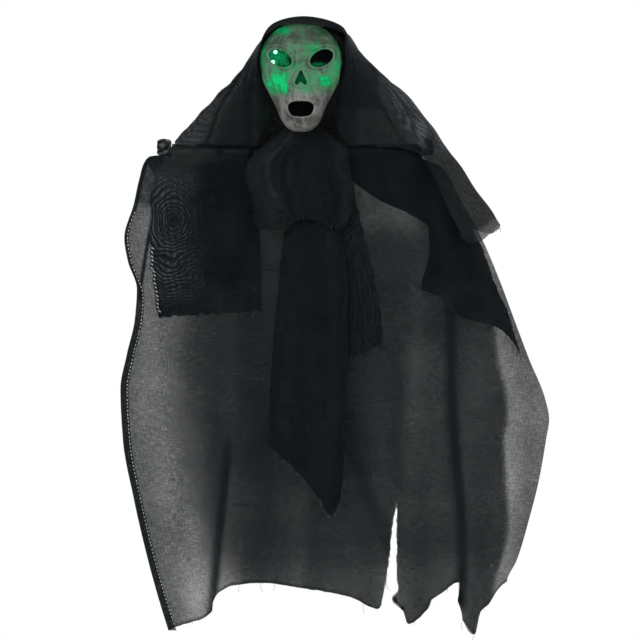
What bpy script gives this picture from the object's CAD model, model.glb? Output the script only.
"""The looks of a hanging ghost decoration: a lit mask under a gauze hood, over a long gauze robe on a bar.

Metres, +Z up, +X to the viewer's right, the front faces -Y. The origin is the hanging ring's straight side.
"""

import logging
import math
from collections.abc import Callable
from dataclasses import dataclass
from enum import Enum

import bmesh
import bpy
import numpy as np
from mathutils import Matrix, Vector

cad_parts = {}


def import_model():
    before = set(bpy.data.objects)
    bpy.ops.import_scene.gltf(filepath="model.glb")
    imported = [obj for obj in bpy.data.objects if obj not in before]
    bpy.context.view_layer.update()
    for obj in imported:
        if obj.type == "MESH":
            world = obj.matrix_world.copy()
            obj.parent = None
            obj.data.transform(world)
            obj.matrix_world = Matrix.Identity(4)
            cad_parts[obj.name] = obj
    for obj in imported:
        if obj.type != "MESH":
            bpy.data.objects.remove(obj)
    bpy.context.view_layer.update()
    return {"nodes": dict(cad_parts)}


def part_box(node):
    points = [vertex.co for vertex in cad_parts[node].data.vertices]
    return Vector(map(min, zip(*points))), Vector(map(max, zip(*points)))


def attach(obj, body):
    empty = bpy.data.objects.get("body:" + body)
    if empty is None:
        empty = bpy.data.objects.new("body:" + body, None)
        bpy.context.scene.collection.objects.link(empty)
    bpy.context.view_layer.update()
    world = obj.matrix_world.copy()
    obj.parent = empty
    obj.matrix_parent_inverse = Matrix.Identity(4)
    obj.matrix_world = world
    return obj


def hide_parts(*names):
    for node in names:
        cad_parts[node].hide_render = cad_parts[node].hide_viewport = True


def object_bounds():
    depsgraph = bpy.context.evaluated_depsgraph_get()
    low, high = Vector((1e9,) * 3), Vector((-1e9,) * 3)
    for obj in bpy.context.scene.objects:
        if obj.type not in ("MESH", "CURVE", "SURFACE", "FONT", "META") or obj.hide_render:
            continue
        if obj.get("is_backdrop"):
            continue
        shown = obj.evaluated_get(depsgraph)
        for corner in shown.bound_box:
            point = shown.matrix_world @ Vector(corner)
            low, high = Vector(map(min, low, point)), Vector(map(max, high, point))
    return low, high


LOG = logging.getLogger("ghost")

Rows = tuple[tuple[float, float], ...]
Colour = tuple[float, float, float]
Socket = bpy.types.NodeSocket

GAP = 0.0003
CLOTH = 0.001
GAUZE_THICK = 0.0006
WELD = 0.00002
ROD_Z = -0.181
ROD_HALF = 0.200
ROBE_DROP = 0.709
FRONT_CASING_R = 0.0048
BACK_CASING_R = 0.0061
SLEEVE_R = 0.0074
CASING_STEPS = 12
HANG_START = 16
LOOP_POINTS = 72
SIDES = (-1.0, 1.0)


class Side(Enum):
    """Which way a hanging cloth faces from the bar."""

    FRONT = -1.0
    BACK = 1.0


# Each side of the robe: its casing's radius, its long folds' pitch and start, and its small folds' seed.
HANG = {Side.FRONT: (FRONT_CASING_R, 0.115, 0.175, 11), Side.BACK: (BACK_CASING_R, 0.138, 0.05, 23)}


# Tables and small fields ------------------------------------------------------------------------


def smooth(value: np.ndarray) -> np.ndarray:
    """Eases a share from 0 to 1 with level ends."""
    value = np.clip(value, 0.0, 1.0)
    return value * value * (3.0 - 2.0 * value)


def rise(value: np.ndarray, start: float, over: float) -> np.ndarray:
    """Eases from 0 at a start to 1 a given way past it."""
    return smooth((value - start) / over)


def fall(value: np.ndarray, end: float, over: float) -> np.ndarray:
    """Eases from 1, a given way before an end, to 0 at the end."""
    return smooth((end - value) / over)


def hump(value: np.ndarray, middle: float, wide: float) -> np.ndarray:
    """A soft bump that is 1 at its middle."""
    return np.exp(-(((value - middle) / wide) ** 2))


def read(rows: Rows, place: np.ndarray) -> np.ndarray:
    """Reads a smooth curve through (place, value) rows that never overshoots them.

    Args:
        rows: Places in rising order with their values.
        place: Where to read it.

    Returns:
        The values there, level beyond the two ends.
    """
    x, y = np.array(rows, float).T
    step = np.diff(x)
    slope = np.diff(y) / step
    tangent = np.zeros_like(y)
    for k in range(1, len(x) - 1):
        if slope[k - 1] * slope[k] > 0:
            first, second = 2 * step[k] + step[k - 1], step[k] + 2 * step[k - 1]
            tangent[k] = (first + second) / (first / slope[k - 1] + second / slope[k])
    tangent[0], tangent[-1] = slope[0], slope[-1]
    at = np.clip(place, x[0], x[-1])
    k = np.clip(np.searchsorted(x, at, side="right") - 1, 0, len(step) - 1)
    t = (at - x[k]) / step[k]
    return (
        (1 + 2 * t) * (1 - t) ** 2 * y[k] + t * (1 - t) ** 2 * step[k] * tangent[k]
        + t * t * (3 - 2 * t) * y[k + 1] + t * t * (t - 1) * step[k] * tangent[k + 1]
    )


def spread(left: Rows, right: Rows, place: np.ndarray, share: np.ndarray, width: float) -> np.ndarray:
    """Places across a cloth, between its two edges.

    Args:
        left: Its left edge, as (value, place) rows.
        right: Its right edge.
        place: How far down the points are.
        share: How far across they are, from 0 to 1.
        width: What a value of 1 stands for, in metres.

    Returns:
        Their places across, in metres.
    """
    start, end = (read(swapped(edge), place) for edge in (left, right))
    return width * (start + (end - start) * share)


def swapped(rows: Rows) -> Rows:
    """Turns (value, place) rows into (place, value) rows."""
    return tuple((place, value) for value, place in rows)


def catmull(points: np.ndarray, share: np.ndarray) -> np.ndarray:
    """Runs the smooth curve through points along their first axis.

    Args:
        points: The points, of any further shape.
        share: Places from 0 to 1.

    Returns:
        One row of points for each place.
    """
    last = len(points) - 1
    span = np.minimum((share * last).astype(int), last - 1)
    t = (share * last - span).reshape((-1,) + (1,) * (points.ndim - 1))
    before, start = points[np.maximum(span - 1, 0)], points[span]
    end, after = points[span + 1], points[np.minimum(span + 2, last)]
    return 0.5 * (
        2 * start + (end - before) * t + (2 * before - 5 * start + 4 * end - after) * t**2
        + (3 * start - before - 3 * end + after) * t**3
    )


def waves(x: np.ndarray, z: np.ndarray, seed: int, pitch: float, count: int = 6) -> np.ndarray:
    """A gentle uneven field between about -1 and 1.

    Args:
        x: Places across, in metres.
        z: Places along, in metres.
        seed: Chooses the field.
        pitch: The usual size of its bumps, in metres.
        count: How many waves make it up.

    Returns:
        Its value at each place.
    """
    chance = np.random.default_rng(seed)
    total = np.zeros(np.broadcast(x, z).shape)
    for _ in range(count):
        angle, start = chance.uniform(0, 2 * math.pi), chance.uniform(0, 2 * math.pi)
        reach = 2 * math.pi / (pitch * chance.uniform(0.7, 1.5))
        total = total + np.sin(x * reach * math.cos(angle) + z * reach * math.sin(angle) + start)
    return total / math.sqrt(count)


def ragged(place: np.ndarray, seed: int, size: float) -> np.ndarray:
    """A torn edge's departure from its line, in metres, at places along it."""
    none = np.zeros_like(place)
    coarse, fine = waves(place, none, seed, 0.022), waves(place, none, seed + 1, 0.0065)
    return size * (0.6 * coarse + 0.4 * fine)


# Cloth fields that all layers share, so that none passes through the next -----------------------


def fold_wave(x: np.ndarray, pitch: float, start: float) -> np.ndarray:
    """A long and a short fold together."""
    turn = 2 * math.pi * x / pitch
    return 0.6 * np.sin(turn + 2 * math.pi * start) + 0.4 * np.sin(turn / 2 - 2 * math.pi * start)


def hang_ramp(drop: np.ndarray) -> np.ndarray:
    """How far a cloth has opened, from the bar down."""
    return rise(drop, 0.016, 0.420)


def small_folds(x: np.ndarray, drop: np.ndarray, seed: int) -> np.ndarray:
    """Narrow upright folds that wander and die out, in metres."""
    drift = 0.010 * np.sin(drop / 0.13 + seed) + 0.006 * np.sin(drop / 0.055 + 2 * seed)
    strength = 0.55 + 0.45 * waves(x * 0.6, drop * 0.35, seed, 0.10)
    fold = np.sin(2 * math.pi * (x + drift) / 0.047) + 0.6 * np.sin(2 * math.pi * (x - drift) / 0.0285 + 1.3)
    return smooth(drop / 0.14) * (0.0011 * strength * fold + 0.0006 * waves(x, drop * 0.45, seed + 3, 0.03))


def robe_depth(x: np.ndarray, drop: np.ndarray, side: Side) -> np.ndarray:
    """How far the robe hangs from the bar's axis on one side."""
    radius, pitch, start, seed = HANG[side]
    wave = 0.024 + 0.012 * fold_wave(x, pitch, start)
    return radius + hang_ramp(drop) * wave + small_folds(x, drop, seed)


# Meshes -----------------------------------------------------------------------------------------


@dataclass
class Patch:
    """A grid of cloth points.

    Attributes:
        points: Rows by columns by 3.
        uv: Rows by columns by 2, in metres of flat cloth.
        dense: Extra layers of cloth at each point.
        pale: How much bare selvage or frayed thread shows at each point.
        beat: How strongly the weaves of two layers beat at each point.
    """

    points: np.ndarray
    uv: np.ndarray
    dense: np.ndarray
    pale: np.ndarray | float = 0.0
    beat: np.ndarray | float = 0.0

    def quads(self, base: int) -> np.ndarray:
        """The grid's faces, with its points numbered from a base."""
        rows, columns = self.points.shape[:2]
        index = np.arange(rows * columns).reshape(rows, columns) + base
        corners = (index[:-1, :-1], index[:-1, 1:], index[1:, 1:], index[1:, :-1])
        return np.stack(corners, axis=2).reshape(-1, 4)

    def mark(self, name: str) -> np.ndarray:
        """One mark of each point."""
        return np.broadcast_to(getattr(self, name), self.dense.shape).reshape(-1)


def deselect() -> None:
    """Leaves nothing selected, so that the next operator acts on its own piece."""
    if bpy.context.mode != "OBJECT":
        bpy.ops.object.mode_set(mode="OBJECT")
    bpy.ops.object.select_all(action="DESELECT")


def choose(piece: bpy.types.Object) -> None:
    """Makes one object the only selected and active one."""
    deselect()
    piece.select_set(True)
    bpy.context.view_layer.objects.active = piece


def apply_modifiers(piece: bpy.types.Object) -> None:
    """Applies every modifier of a piece, in order."""
    choose(piece)
    for modifier in list(piece.modifiers):
        bpy.ops.object.modifier_apply(modifier=modifier.name)


def settle(piece: bpy.types.Object) -> None:
    """Moves a piece's place, turn and scale into its mesh."""
    choose(piece)
    bpy.ops.object.transform_apply(location=True, rotation=True, scale=True)


def soften(piece: bpy.types.Object, degrees: float) -> None:
    """Shades a piece smooth, with edges sharper than an angle kept."""
    choose(piece)
    bpy.ops.object.shade_smooth_by_angle(angle=math.radians(degrees))


def dress(piece: bpy.types.Object, finish: bpy.types.Material) -> None:
    """Gives a piece one material."""
    piece.data.materials.clear()
    piece.data.materials.append(finish)


def present(
    piece: bpy.types.Object, finish: bpy.types.Material, node: str, what: str, body: str = "figure"
) -> bpy.types.Object:
    """Dresses a finished piece, ties it to its solid and its body, and reports it.

    Args:
        piece: The piece.
        finish: Its material.
        node: The solid that it stands for.
        what: What it is, for the report.
        body: The body that it rides on.

    Returns:
        The piece.
    """
    dress(piece, finish)
    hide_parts(node)
    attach(piece, body)
    LOG.info("%s: %s", piece.name, what)
    return piece


def linked(name: str, data: bpy.types.ID) -> bpy.types.Object:
    """Puts an object with its data into the scene."""
    piece = bpy.data.objects.new(name, data)
    bpy.context.scene.collection.objects.link(piece)
    return piece


def copied(piece: bpy.types.Object, name: str, move: Matrix) -> bpy.types.Object:
    """Copies a piece with its own mesh, which it moves."""
    copy = linked(name, piece.data.copy())
    copy.data.transform(move)
    return copy


def set_mark(mesh: bpy.types.Mesh, name: str, values: np.ndarray) -> None:
    """Stores one number for each point of a mesh."""
    attribute = mesh.attributes.new(name, "FLOAT", "POINT")
    attribute.data.foreach_set("value", values.astype(np.float32).reshape(-1))


def place_points(mesh: bpy.types.Mesh, places: np.ndarray) -> None:
    """Moves all points of a mesh."""
    mesh.vertices.foreach_set("co", places.astype(np.float32).reshape(-1))


def cloth_mesh(name: str, places: np.ndarray, quads: np.ndarray, flat: np.ndarray) -> bpy.types.Mesh:
    """A mesh of quads with its UV map in metres.

    Args:
        name: Its name.
        places: Its points.
        quads: Its faces.
        flat: The flat place of each face corner.

    Returns:
        The mesh.
    """
    mesh = bpy.data.meshes.new(name)
    mesh.from_pydata(places.tolist(), [], quads.tolist())
    mesh.uv_layers.new(name="cloth").data.foreach_set("uv", flat.astype(np.float32).reshape(-1))
    return mesh


def turn_outwards(mesh: bpy.types.Mesh, weld: float = 0.0) -> None:
    """Points all faces outwards, once points closer than a weld are one and loose ones are gone."""
    bm = bmesh.new()
    bm.from_mesh(mesh)
    if weld:
        bmesh.ops.remove_doubles(bm, verts=bm.verts, dist=weld)
        bmesh.ops.delete(bm, geom=[v for v in bm.verts if not v.link_faces], context="VERTS")
    bmesh.ops.recalc_face_normals(bm, faces=bm.faces)
    bm.to_mesh(mesh)
    bm.free()


def shade_round(piece: bpy.types.Object) -> bpy.types.Object:
    """Shades a piece smooth all over."""
    choose(piece)
    bpy.ops.object.shade_smooth()
    return piece


def arc_uv(points: np.ndarray) -> np.ndarray:
    """Flat places of a grid's points, from the mean distances along its rows and columns.

    Args:
        points: Rows by columns by 3.

    Returns:
        Rows by columns by 2, in metres.
    """
    across = np.linalg.norm(np.diff(points, axis=1), axis=2).mean(axis=0)
    down = np.linalg.norm(np.diff(points, axis=0), axis=2).mean(axis=1)
    u, v = np.concatenate([[0.0], np.cumsum(across)]), np.concatenate([[0.0], np.cumsum(down)])
    return np.stack(np.meshgrid(u, v), axis=2)


def make_sheet(
    name: str, patches: list[Patch], dropped: Callable[[np.ndarray], np.ndarray] | None = None
) -> bpy.types.Object:
    """Makes one thin closed cloth from grids that meet at their edges.

    Args:
        name: The piece's name.
        patches: Its grids.
        dropped: Says of face centres which ones are cut out.

    Returns:
        The piece, with its UV map in metres and its three attributes.
    """
    bases = np.cumsum([0] + [patch.dense.size for patch in patches])
    places = np.concatenate([patch.points.reshape(-1, 3) for patch in patches])
    quads = np.concatenate([patch.quads(base) for patch, base in zip(patches, bases)])
    flat = np.concatenate([patch.uv.reshape(-1, 2) for patch in patches])
    if dropped is not None:
        quads = quads[~dropped(places[quads].mean(axis=1))]
    mesh = cloth_mesh(name, places, quads, flat[quads.reshape(-1)])
    for mark in ("dense", "pale", "beat"):
        set_mark(mesh, mark, np.concatenate([patch.mark(mark) for patch in patches]))
    piece = linked(name, mesh)
    turn_outwards(mesh, WELD)
    wall = piece.modifiers.new("thickness", "SOLIDIFY")
    wall.thickness, wall.offset = GAUZE_THICK, 0.0
    apply_modifiers(piece)
    return shade_round(piece)


def sheet_area(piece: bpy.types.Object) -> float:
    """The area of one side of a thin closed cloth."""
    return sum(face.area for face in piece.data.polygons) / 2


def thread_tubes(name: str, routes: list[np.ndarray], radius: float, sides: int = 5) -> bpy.types.Object:
    """Makes many thin threads as one mesh.

    Args:
        name: The piece's name.
        routes: The points that each thread follows.
        radius: The threads' radius.
        sides: How many faces go round a thread.

    Returns:
        The piece.
    """
    bm = bmesh.new()
    angles = [2 * math.pi * j / sides for j in range(sides)]
    for route in routes:
        way = np.gradient(route, axis=0)
        way /= np.linalg.norm(way, axis=1, keepdims=True)
        side = np.cross(way, np.array([0.13, 1.0, 0.21]))
        side /= np.linalg.norm(side, axis=1, keepdims=True)
        up = np.cross(way, side)
        rings = []
        for k, point in enumerate(route):
            size = radius * (0.45 if k in (0, len(route) - 1) else 1.0)
            around = [side[k] * math.cos(a) + up[k] * math.sin(a) for a in angles]
            rings.append([bm.verts.new(point + size * way_out) for way_out in around])
        for first, second in zip(rings, rings[1:]):
            for j in range(sides):
                after = (j + 1) % sides
                bm.faces.new((first[j], first[after], second[after], second[j]))
        bm.faces.new(rings[0])
        bm.faces.new(rings[-1])
    bmesh.ops.recalc_face_normals(bm, faces=bm.faces)
    mesh = bpy.data.meshes.new(name)
    bm.to_mesh(mesh)
    bm.free()
    return shade_round(linked(name, mesh))


def fringe(edge: np.ndarray, count: int, seed: int, reach: float, outward: Colour) -> list[np.ndarray]:
    """Loose threads that hang from a torn edge.

    Args:
        edge: Points along the edge.
        count: How many threads hang from it.
        seed: Chooses them.
        reach: The longest thread, in metres.
        outward: The way that they leave the cloth.

    Returns:
        One route for each thread.
    """
    chance = np.random.default_rng(seed)
    share = np.linspace(0.0, 1.0, 9)[:, None]
    routes = []
    for _ in range(count):
        start = edge[int(chance.integers(2, len(edge) - 2))]
        length = reach * chance.uniform(0.25, 1.0) ** 1.6
        away = np.array(outward) + chance.normal(0.0, 0.35, 3) * np.array([1.0, 0.25, 0.6])
        away /= np.linalg.norm(away)
        curl = chance.normal(0.0, 0.35, 3) * np.array([1.0, 0.3, 0.5])
        fall_away = np.array([0.0, 0.0, -1.0]) * share**2 * length * 0.45
        bent = curl * np.sin(share * math.pi * 1.4) * length * 0.3
        routes.append(start + away * share * length * 0.8 + bent + fall_away)
    return routes


# Node graphs ------------------------------------------------------------------------------------


class Graph:
    """Builds a graph of shader nodes."""

    def __init__(self, tree: bpy.types.NodeTree) -> None:
        """Starts with the tree's own nodes.

        Args:
            tree: The node tree of a material or a world.
        """
        self.nodes, self.links = tree.nodes, tree.links

    def add(self, kind: str, sockets: dict[int | str, object], **settings: object) -> bpy.types.Node:
        """Adds a node, sets its properties and feeds its sockets."""
        node = self.nodes.new(kind)
        for key, value in settings.items():
            setattr(node, key, value)
        for key, value in sockets.items():
            self.feed(node.inputs[key], value)
        return node

    def feed(self, socket: Socket, value: object) -> None:
        """Links a socket to another one, or sets its value."""
        if isinstance(value, Socket):
            self.links.new(value, socket)
        elif isinstance(value, tuple) and socket.type == "RGBA" and len(value) == 3:
            socket.default_value = (*value, 1.0)
        else:
            socket.default_value = value

    def maths(self, what: str, first: object, second: object = 0.0, clamp: bool = False) -> Socket:
        """One Math node."""
        return self.add("ShaderNodeMath", {0: first, 1: second}, operation=what, use_clamp=clamp).outputs[0]

    def times(self, first: object, second: object, clamp: bool = False) -> Socket:
        """A product."""
        return self.maths("MULTIPLY", first, second, clamp)

    def plus(self, first: object, second: object) -> Socket:
        """A sum."""
        return self.maths("ADD", first, second)

    def less(self, first: object, second: object, clamp: bool = False) -> Socket:
        """A difference."""
        return self.maths("SUBTRACT", first, second, clamp)

    def most(self, first: object, second: object) -> Socket:
        """The larger one."""
        return self.maths("MAXIMUM", first, second)

    def remap(
        self, value: object, low: float, high: float, to_low: float = 0.0, to_high: float = 1.0
    ) -> Socket:
        """A clamped smooth change of range."""
        sockets = {"Value": value, "From Min": low, "From Max": high, "To Min": to_low, "To Max": to_high}
        return self.add("ShaderNodeMapRange", sockets, interpolation_type="SMOOTHSTEP").outputs["Result"]


class Surface(Graph):
    """Builds the node graph of one material."""

    def __init__(self, name: str) -> None:
        """Starts a material with a Principled shader.

        Args:
            name: The material's name.
        """
        self.material = bpy.data.materials.new(name)
        self.material.use_nodes = True
        super().__init__(self.material.node_tree)
        self.shader = self.nodes["Principled BSDF"]

    def place(self) -> Socket:
        """The object's own coordinates, in metres."""
        return self.add("ShaderNodeTexCoord", {}).outputs["Object"]

    def cloth_place(self) -> Socket:
        """Places on the flat cloth, in metres."""
        return self.add("ShaderNodeUVMap", {}, uv_map="cloth").outputs["UV"]

    def mark(self, name: str) -> Socket:
        """An attribute of the mesh as a number."""
        return self.add("ShaderNodeAttribute", {}, attribute_name=name).outputs["Fac"]

    def mapped(
        self, place: Socket, scale: Colour, move: Colour = (0.0, 0.0, 0.0), turn: float = 0.0
    ) -> Socket:
        """Places scaled, moved and turned about Z."""
        sockets = {"Vector": place, "Scale": scale, "Location": move, "Rotation": (0.0, 0.0, turn)}
        return self.add("ShaderNodeMapping", sockets).outputs[0]

    def parts(self, vector: Socket) -> tuple[Socket, ...]:
        """The three numbers of a vector."""
        return tuple(self.add("ShaderNodeSeparateXYZ", {0: vector}).outputs)

    def noise(
        self, place: Socket, scale: float, detail: float = 2.0, rough: float = 0.5, warp: float = 0.0
    ) -> Socket:
        """A noise texture's value."""
        sockets = {"Vector": place, "Scale": scale, "Detail": detail, "Roughness": rough, "Distortion": warp}
        return self.add("ShaderNodeTexNoise", sockets).outputs["Fac"]

    def grain(self, place: Socket, scale: Colour, *settings: float, move: Colour = (0.0, 0.0, 0.0)) -> Socket:
        """Noise that is drawn out along some axes: its detail, roughness and distortion may follow."""
        return self.noise(self.mapped(place, scale, move), 1.0, *settings)

    def cells(self, place: Socket, scale: float, feature: str = "DISTANCE_TO_EDGE") -> Socket:
        """A Voronoi texture's distance."""
        sockets = {"Vector": place, "Scale": scale}
        return self.add("ShaderNodeTexVoronoi", sockets, feature=feature).outputs["Distance"]

    def blend(self, share: object, first: object, second: object) -> Socket:
        """Mixes two colours."""
        sockets = {"Factor": share, 6: first, 7: second}
        return self.add("ShaderNodeMix", sockets, data_type="RGBA", blend_type="MIX").outputs[2]

    def tones(self, share: object, colour: Colour, dark: float, light: float) -> Socket:
        """Mixes a darker and a lighter tone of one colour."""
        return self.blend(share, tuple(dark * c for c in colour), tuple(light * c for c in colour))

    def spot(self, place: Socket, centre: Colour, size: Colour, ragged_by: object = 0.0) -> Socket:
        """A soft round patch: 1 at its centre, 0 at its rim.

        Args:
            place: Object coordinates.
            centre: Its middle.
            size: Its half sizes.
            ragged_by: Added to the distance, to break up the rim.

        Returns:
            The patch's strength.
        """
        shift = self.add("ShaderNodeVectorMath", {0: place, 1: centre}, operation="SUBTRACT").outputs[0]
        stretch = self.add("ShaderNodeVectorMath", {0: shift, 1: size}, operation="DIVIDE").outputs[0]
        far = self.add("ShaderNodeVectorMath", {0: stretch}, operation="LENGTH").outputs["Value"]
        return self.remap(self.plus(far, ragged_by), 1.0, 0.25)

    def bump(self, height: object, strength: float, depth: float) -> None:
        """Raises the surface by a height, on top of what raised it before."""
        node = self.add("ShaderNodeBump", {"Height": height, "Strength": strength, "Distance": depth})
        before = self.shader.inputs["Normal"].links
        if before:
            self.links.new(before[0].from_socket, node.inputs["Normal"])
        self.links.new(node.outputs[0], self.shader.inputs["Normal"])

    def finish(self, **sockets: object) -> bpy.types.Material:
        """Sets the shader's sockets by name, with underscores for spaces.

        Args:
            sockets: The sockets' values or sources.

        Returns:
            The finished material.
        """
        for key, value in sockets.items():
            self.feed(self.shader.inputs[key.replace("_", " ")], value)
        return self.material


# Finishes ---------------------------------------------------------------------------------------


@dataclass(frozen=True)
class GauzeFinish:
    """Black see-through woven gauze, with streaks of thick thread and a fine weave.

    Attributes:
        name: The material's name.
        colour: The threads' colour.
        pitch: From one thread to the next.
        turn: How far the weave is off the straight, in radians.
        thread_pass: The light that one face passes at a thread.
        hole_share: How open a hole is against a thread.
        ring: The middle of the rings that two weaves beat in, on the flat cloth.
        ring_pitch: From one ring to the next.
        glow: Whether green light falls on it beside the face.
    """

    name: str
    colour: Colour = (0.0042, 0.0062, 0.0074)
    pitch: float = 0.0011
    turn: float = 0.0
    thread_pass: float = 0.320
    hole_share: float = 0.80
    ring: tuple[float, float] = (0.12, 0.30)
    ring_pitch: float = 0.0058
    glow: bool = False

    def build(self) -> bpy.types.Material:
        """Makes the material from the cloth's UV map and marks."""
        g = Surface(self.name)
        flat = g.mapped(g.cloth_place(), (1.0, 1.0, 1.0), turn=self.turn)
        u, v, _ = g.parts(flat)
        warp = g.grain(flat, (560.0, 110.0, 1.0), 2.0, 0.6)
        weft = g.grain(flat, (95.0, 520.0, 1.0), 2.0, 0.6, move=(3.1, 7.7, 0.0))
        mottle = g.noise(g.mapped(flat, (1.0, 1.0, 1.0), (0.7, 0.2, 0.0)), 330.0, 3.0, 0.65)
        cloud = g.noise(flat, 22.0)
        reach = 2 * math.pi / self.pitch
        sets = ((u, warp), (v, weft))
        threads = [g.maths("SINE", g.plus(g.times(way, reach), g.times(uneven, 2.2))) for way, uneven in sets]
        thread = g.remap(g.most(*threads), -0.35, 0.45)
        streaks = g.plus(*[g.remap(uneven, 0.32, 0.72, -0.13, 0.13) for uneven in (warp, weft)])
        grain = g.plus(g.remap(mottle, 0.3, 0.7, -0.09, 0.09), g.remap(cloud, 0.35, 0.65, -0.04, 0.05))
        body = g.plus(streaks, grain)
        amount = g.times(g.remap(thread, 0.0, 1.0, self.hole_share, 1.0), g.plus(body, 1.0))
        amount = g.times(amount, g.plus(g.mark("dense"), 1.0))
        alpha = g.less(1.0, g.maths("POWER", self.thread_pass, amount), clamp=True)
        shade = g.tones(g.remap(body, -0.28, 0.28), self.colour, 0.45, 1.75)
        shade = g.blend(g.times(g.mark("beat"), 1.0, clamp=True), shade, self.beaten(g, flat, u, v))
        shade = g.blend(g.times(g.mark("pale"), 0.9, clamp=True), shade, (0.105, 0.110, 0.110))
        if self.glow:
            broken = g.times(g.less(cloud, 0.5), 0.8)
            lit = g.spot(g.place(), (-0.041, 0.01, -0.122), (0.024, 0.10, 0.042), broken)
            shade = g.blend(g.times(lit, 0.85), shade, (0.0030, 0.024, 0.012))
        g.bump(thread, 0.30, 0.0003)
        g.bump(warp, 0.12, 0.0005)
        g.bump(weft, 0.12, 0.0005)
        made = g.finish(
            Base_Color=shade, Roughness=g.remap(mottle, 0.2, 0.8, 0.86, 0.97), Alpha=alpha,
            Sheen_Weight=0.05, Sheen_Roughness=0.5, Sheen_Tint=(0.7, 0.9, 1.0), Specular_IOR_Level=0.1,
        )
        made.surface_render_method = "DITHERED"
        return made

    def beaten(self, g: Surface, flat: Socket, u: Socket, v: Socket) -> Socket:
        """The colour where two layers' weaves beat in bent rings.

        Args:
            g: The graph.
            flat: The place on the flat cloth.
            u: Its first part.
            v: Its second part.

        Returns:
            The colour.
        """
        away = (g.less(u, self.ring[0]), g.times(g.less(v, self.ring[1]), 0.74))
        reach = g.maths("SQRT", g.plus(*[g.times(part, part) for part in away]))
        far = g.plus(reach, g.times(g.noise(flat, 20.0), 0.028))
        wave = g.maths("SINE", g.times(far, 2 * math.pi / self.ring_pitch))
        patchy = g.noise(g.mapped(flat, (1.0, 1.0, 1.0), (4.0, 2.0, 0.0)), 60.0, 2.0, 0.6)
        rows = g.maths("SINE", g.plus(g.times(u, 740.0), g.times(g.noise(flat, 30.0), 9.0)))
        faded = g.times(g.remap(rows, -0.8, 0.5, 0.42, 1.0), g.remap(reach, 0.002, 0.014))
        broken = g.times(g.remap(patchy, 0.35, 0.65, 0.45, 1.0), faded)
        bands = g.times(g.remap(wave, -0.6, 0.9), broken)
        return g.blend(bands, (0.0068, 0.0096, 0.0110), (0.085, 0.100, 0.110))


@dataclass(frozen=True)
class ThreadFinish:
    """A twisted sewing or loose thread."""

    name: str
    colour: Colour
    rough: float = 0.85

    def build(self) -> bpy.types.Material:
        """Makes the material from Object coordinates."""
        g = Surface(self.name)
        twist = g.grain(g.place(), (900.0, 900.0, 260.0), 2.0, 0.6)
        shade = g.tones(g.remap(twist, 0.3, 0.7), self.colour, 0.55, 1.3)
        g.bump(twist, 0.3, 0.0003)
        return g.finish(Base_Color=shade, Roughness=self.rough, Sheen_Weight=0.2, Sheen_Roughness=0.5)


@dataclass(frozen=True)
class PlasticFinish:
    """Moulded plastic with a fine spark grain, flow marks and dust."""

    name: str
    colour: Colour
    rough: float = 0.5
    grain: float = 900.0
    dust: float = 0.12

    def build(self) -> bpy.types.Material:
        """Makes the material from Object coordinates."""
        g = Surface(self.name)
        place = g.place()
        flow = g.grain(place, (18.0, 18.0, 60.0), 3.0, 0.55, 0.6)
        dust = g.remap(g.noise(place, 85.0, 5.0, 0.7), 0.52, 0.78, 0.0, self.dust)
        shade = g.blend(dust, g.tones(g.remap(flow, 0.3, 0.7), self.colour, 0.82, 1.18), (0.30, 0.29, 0.27))
        g.bump(g.noise(place, self.grain, 2.0, 0.6), 0.22, 0.0002)
        g.bump(flow, 0.10, 0.0008)
        rough = g.remap(flow, 0.2, 0.8, self.rough - 0.08, self.rough + 0.12)
        return g.finish(Base_Color=shade, Roughness=rough)


@dataclass(frozen=True)
class SteelFinish:
    """Drawn or pressed steel with brush marks and a few dull spots."""

    name: str
    colour: Colour = (0.36, 0.37, 0.38)
    rough: float = 0.36

    def build(self) -> bpy.types.Material:
        """Makes the material from Object coordinates."""
        g = Surface(self.name)
        place = g.place()
        brush = g.grain(place, (90.0, 2400.0, 2400.0), 2.0, 0.6)
        spots = g.remap(g.noise(place, 420.0, 4.0, 0.7), 0.56, 0.74)
        shade = g.blend(g.times(spots, 0.5), self.colour, (0.24, 0.21, 0.18))
        g.bump(brush, 0.12, 0.0001)
        dull = g.plus(g.remap(brush, 0.2, 0.8, self.rough - 0.07, self.rough + 0.1), g.times(spots, 0.2))
        return g.finish(Base_Color=shade, Metallic=1.0, Roughness=dull)


@dataclass(frozen=True)
class WoodFinish:
    """A pale turned dowel with long grain and end scuffs."""

    name: str
    colour: Colour = (0.52, 0.40, 0.25)

    def build(self) -> bpy.types.Material:
        """Makes the material from Object coordinates, with the grain along X."""
        g = Surface(self.name)
        place = g.place()
        grain = g.grain(place, (9.0, 900.0, 900.0), 4.0, 0.6, 0.4)
        pores = g.remap(g.grain(place, (60.0, 2600.0, 2600.0)), 0.60, 0.72)
        shade = g.tones(g.remap(grain, 0.3, 0.7), self.colour, 1.0, 0.62)
        shade = g.blend(g.times(pores, 0.6), shade, (0.16, 0.11, 0.07))
        g.bump(grain, 0.3, 0.0003)
        return g.finish(Base_Color=shade, Roughness=g.remap(grain, 0.2, 0.8, 0.52, 0.72))


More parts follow.
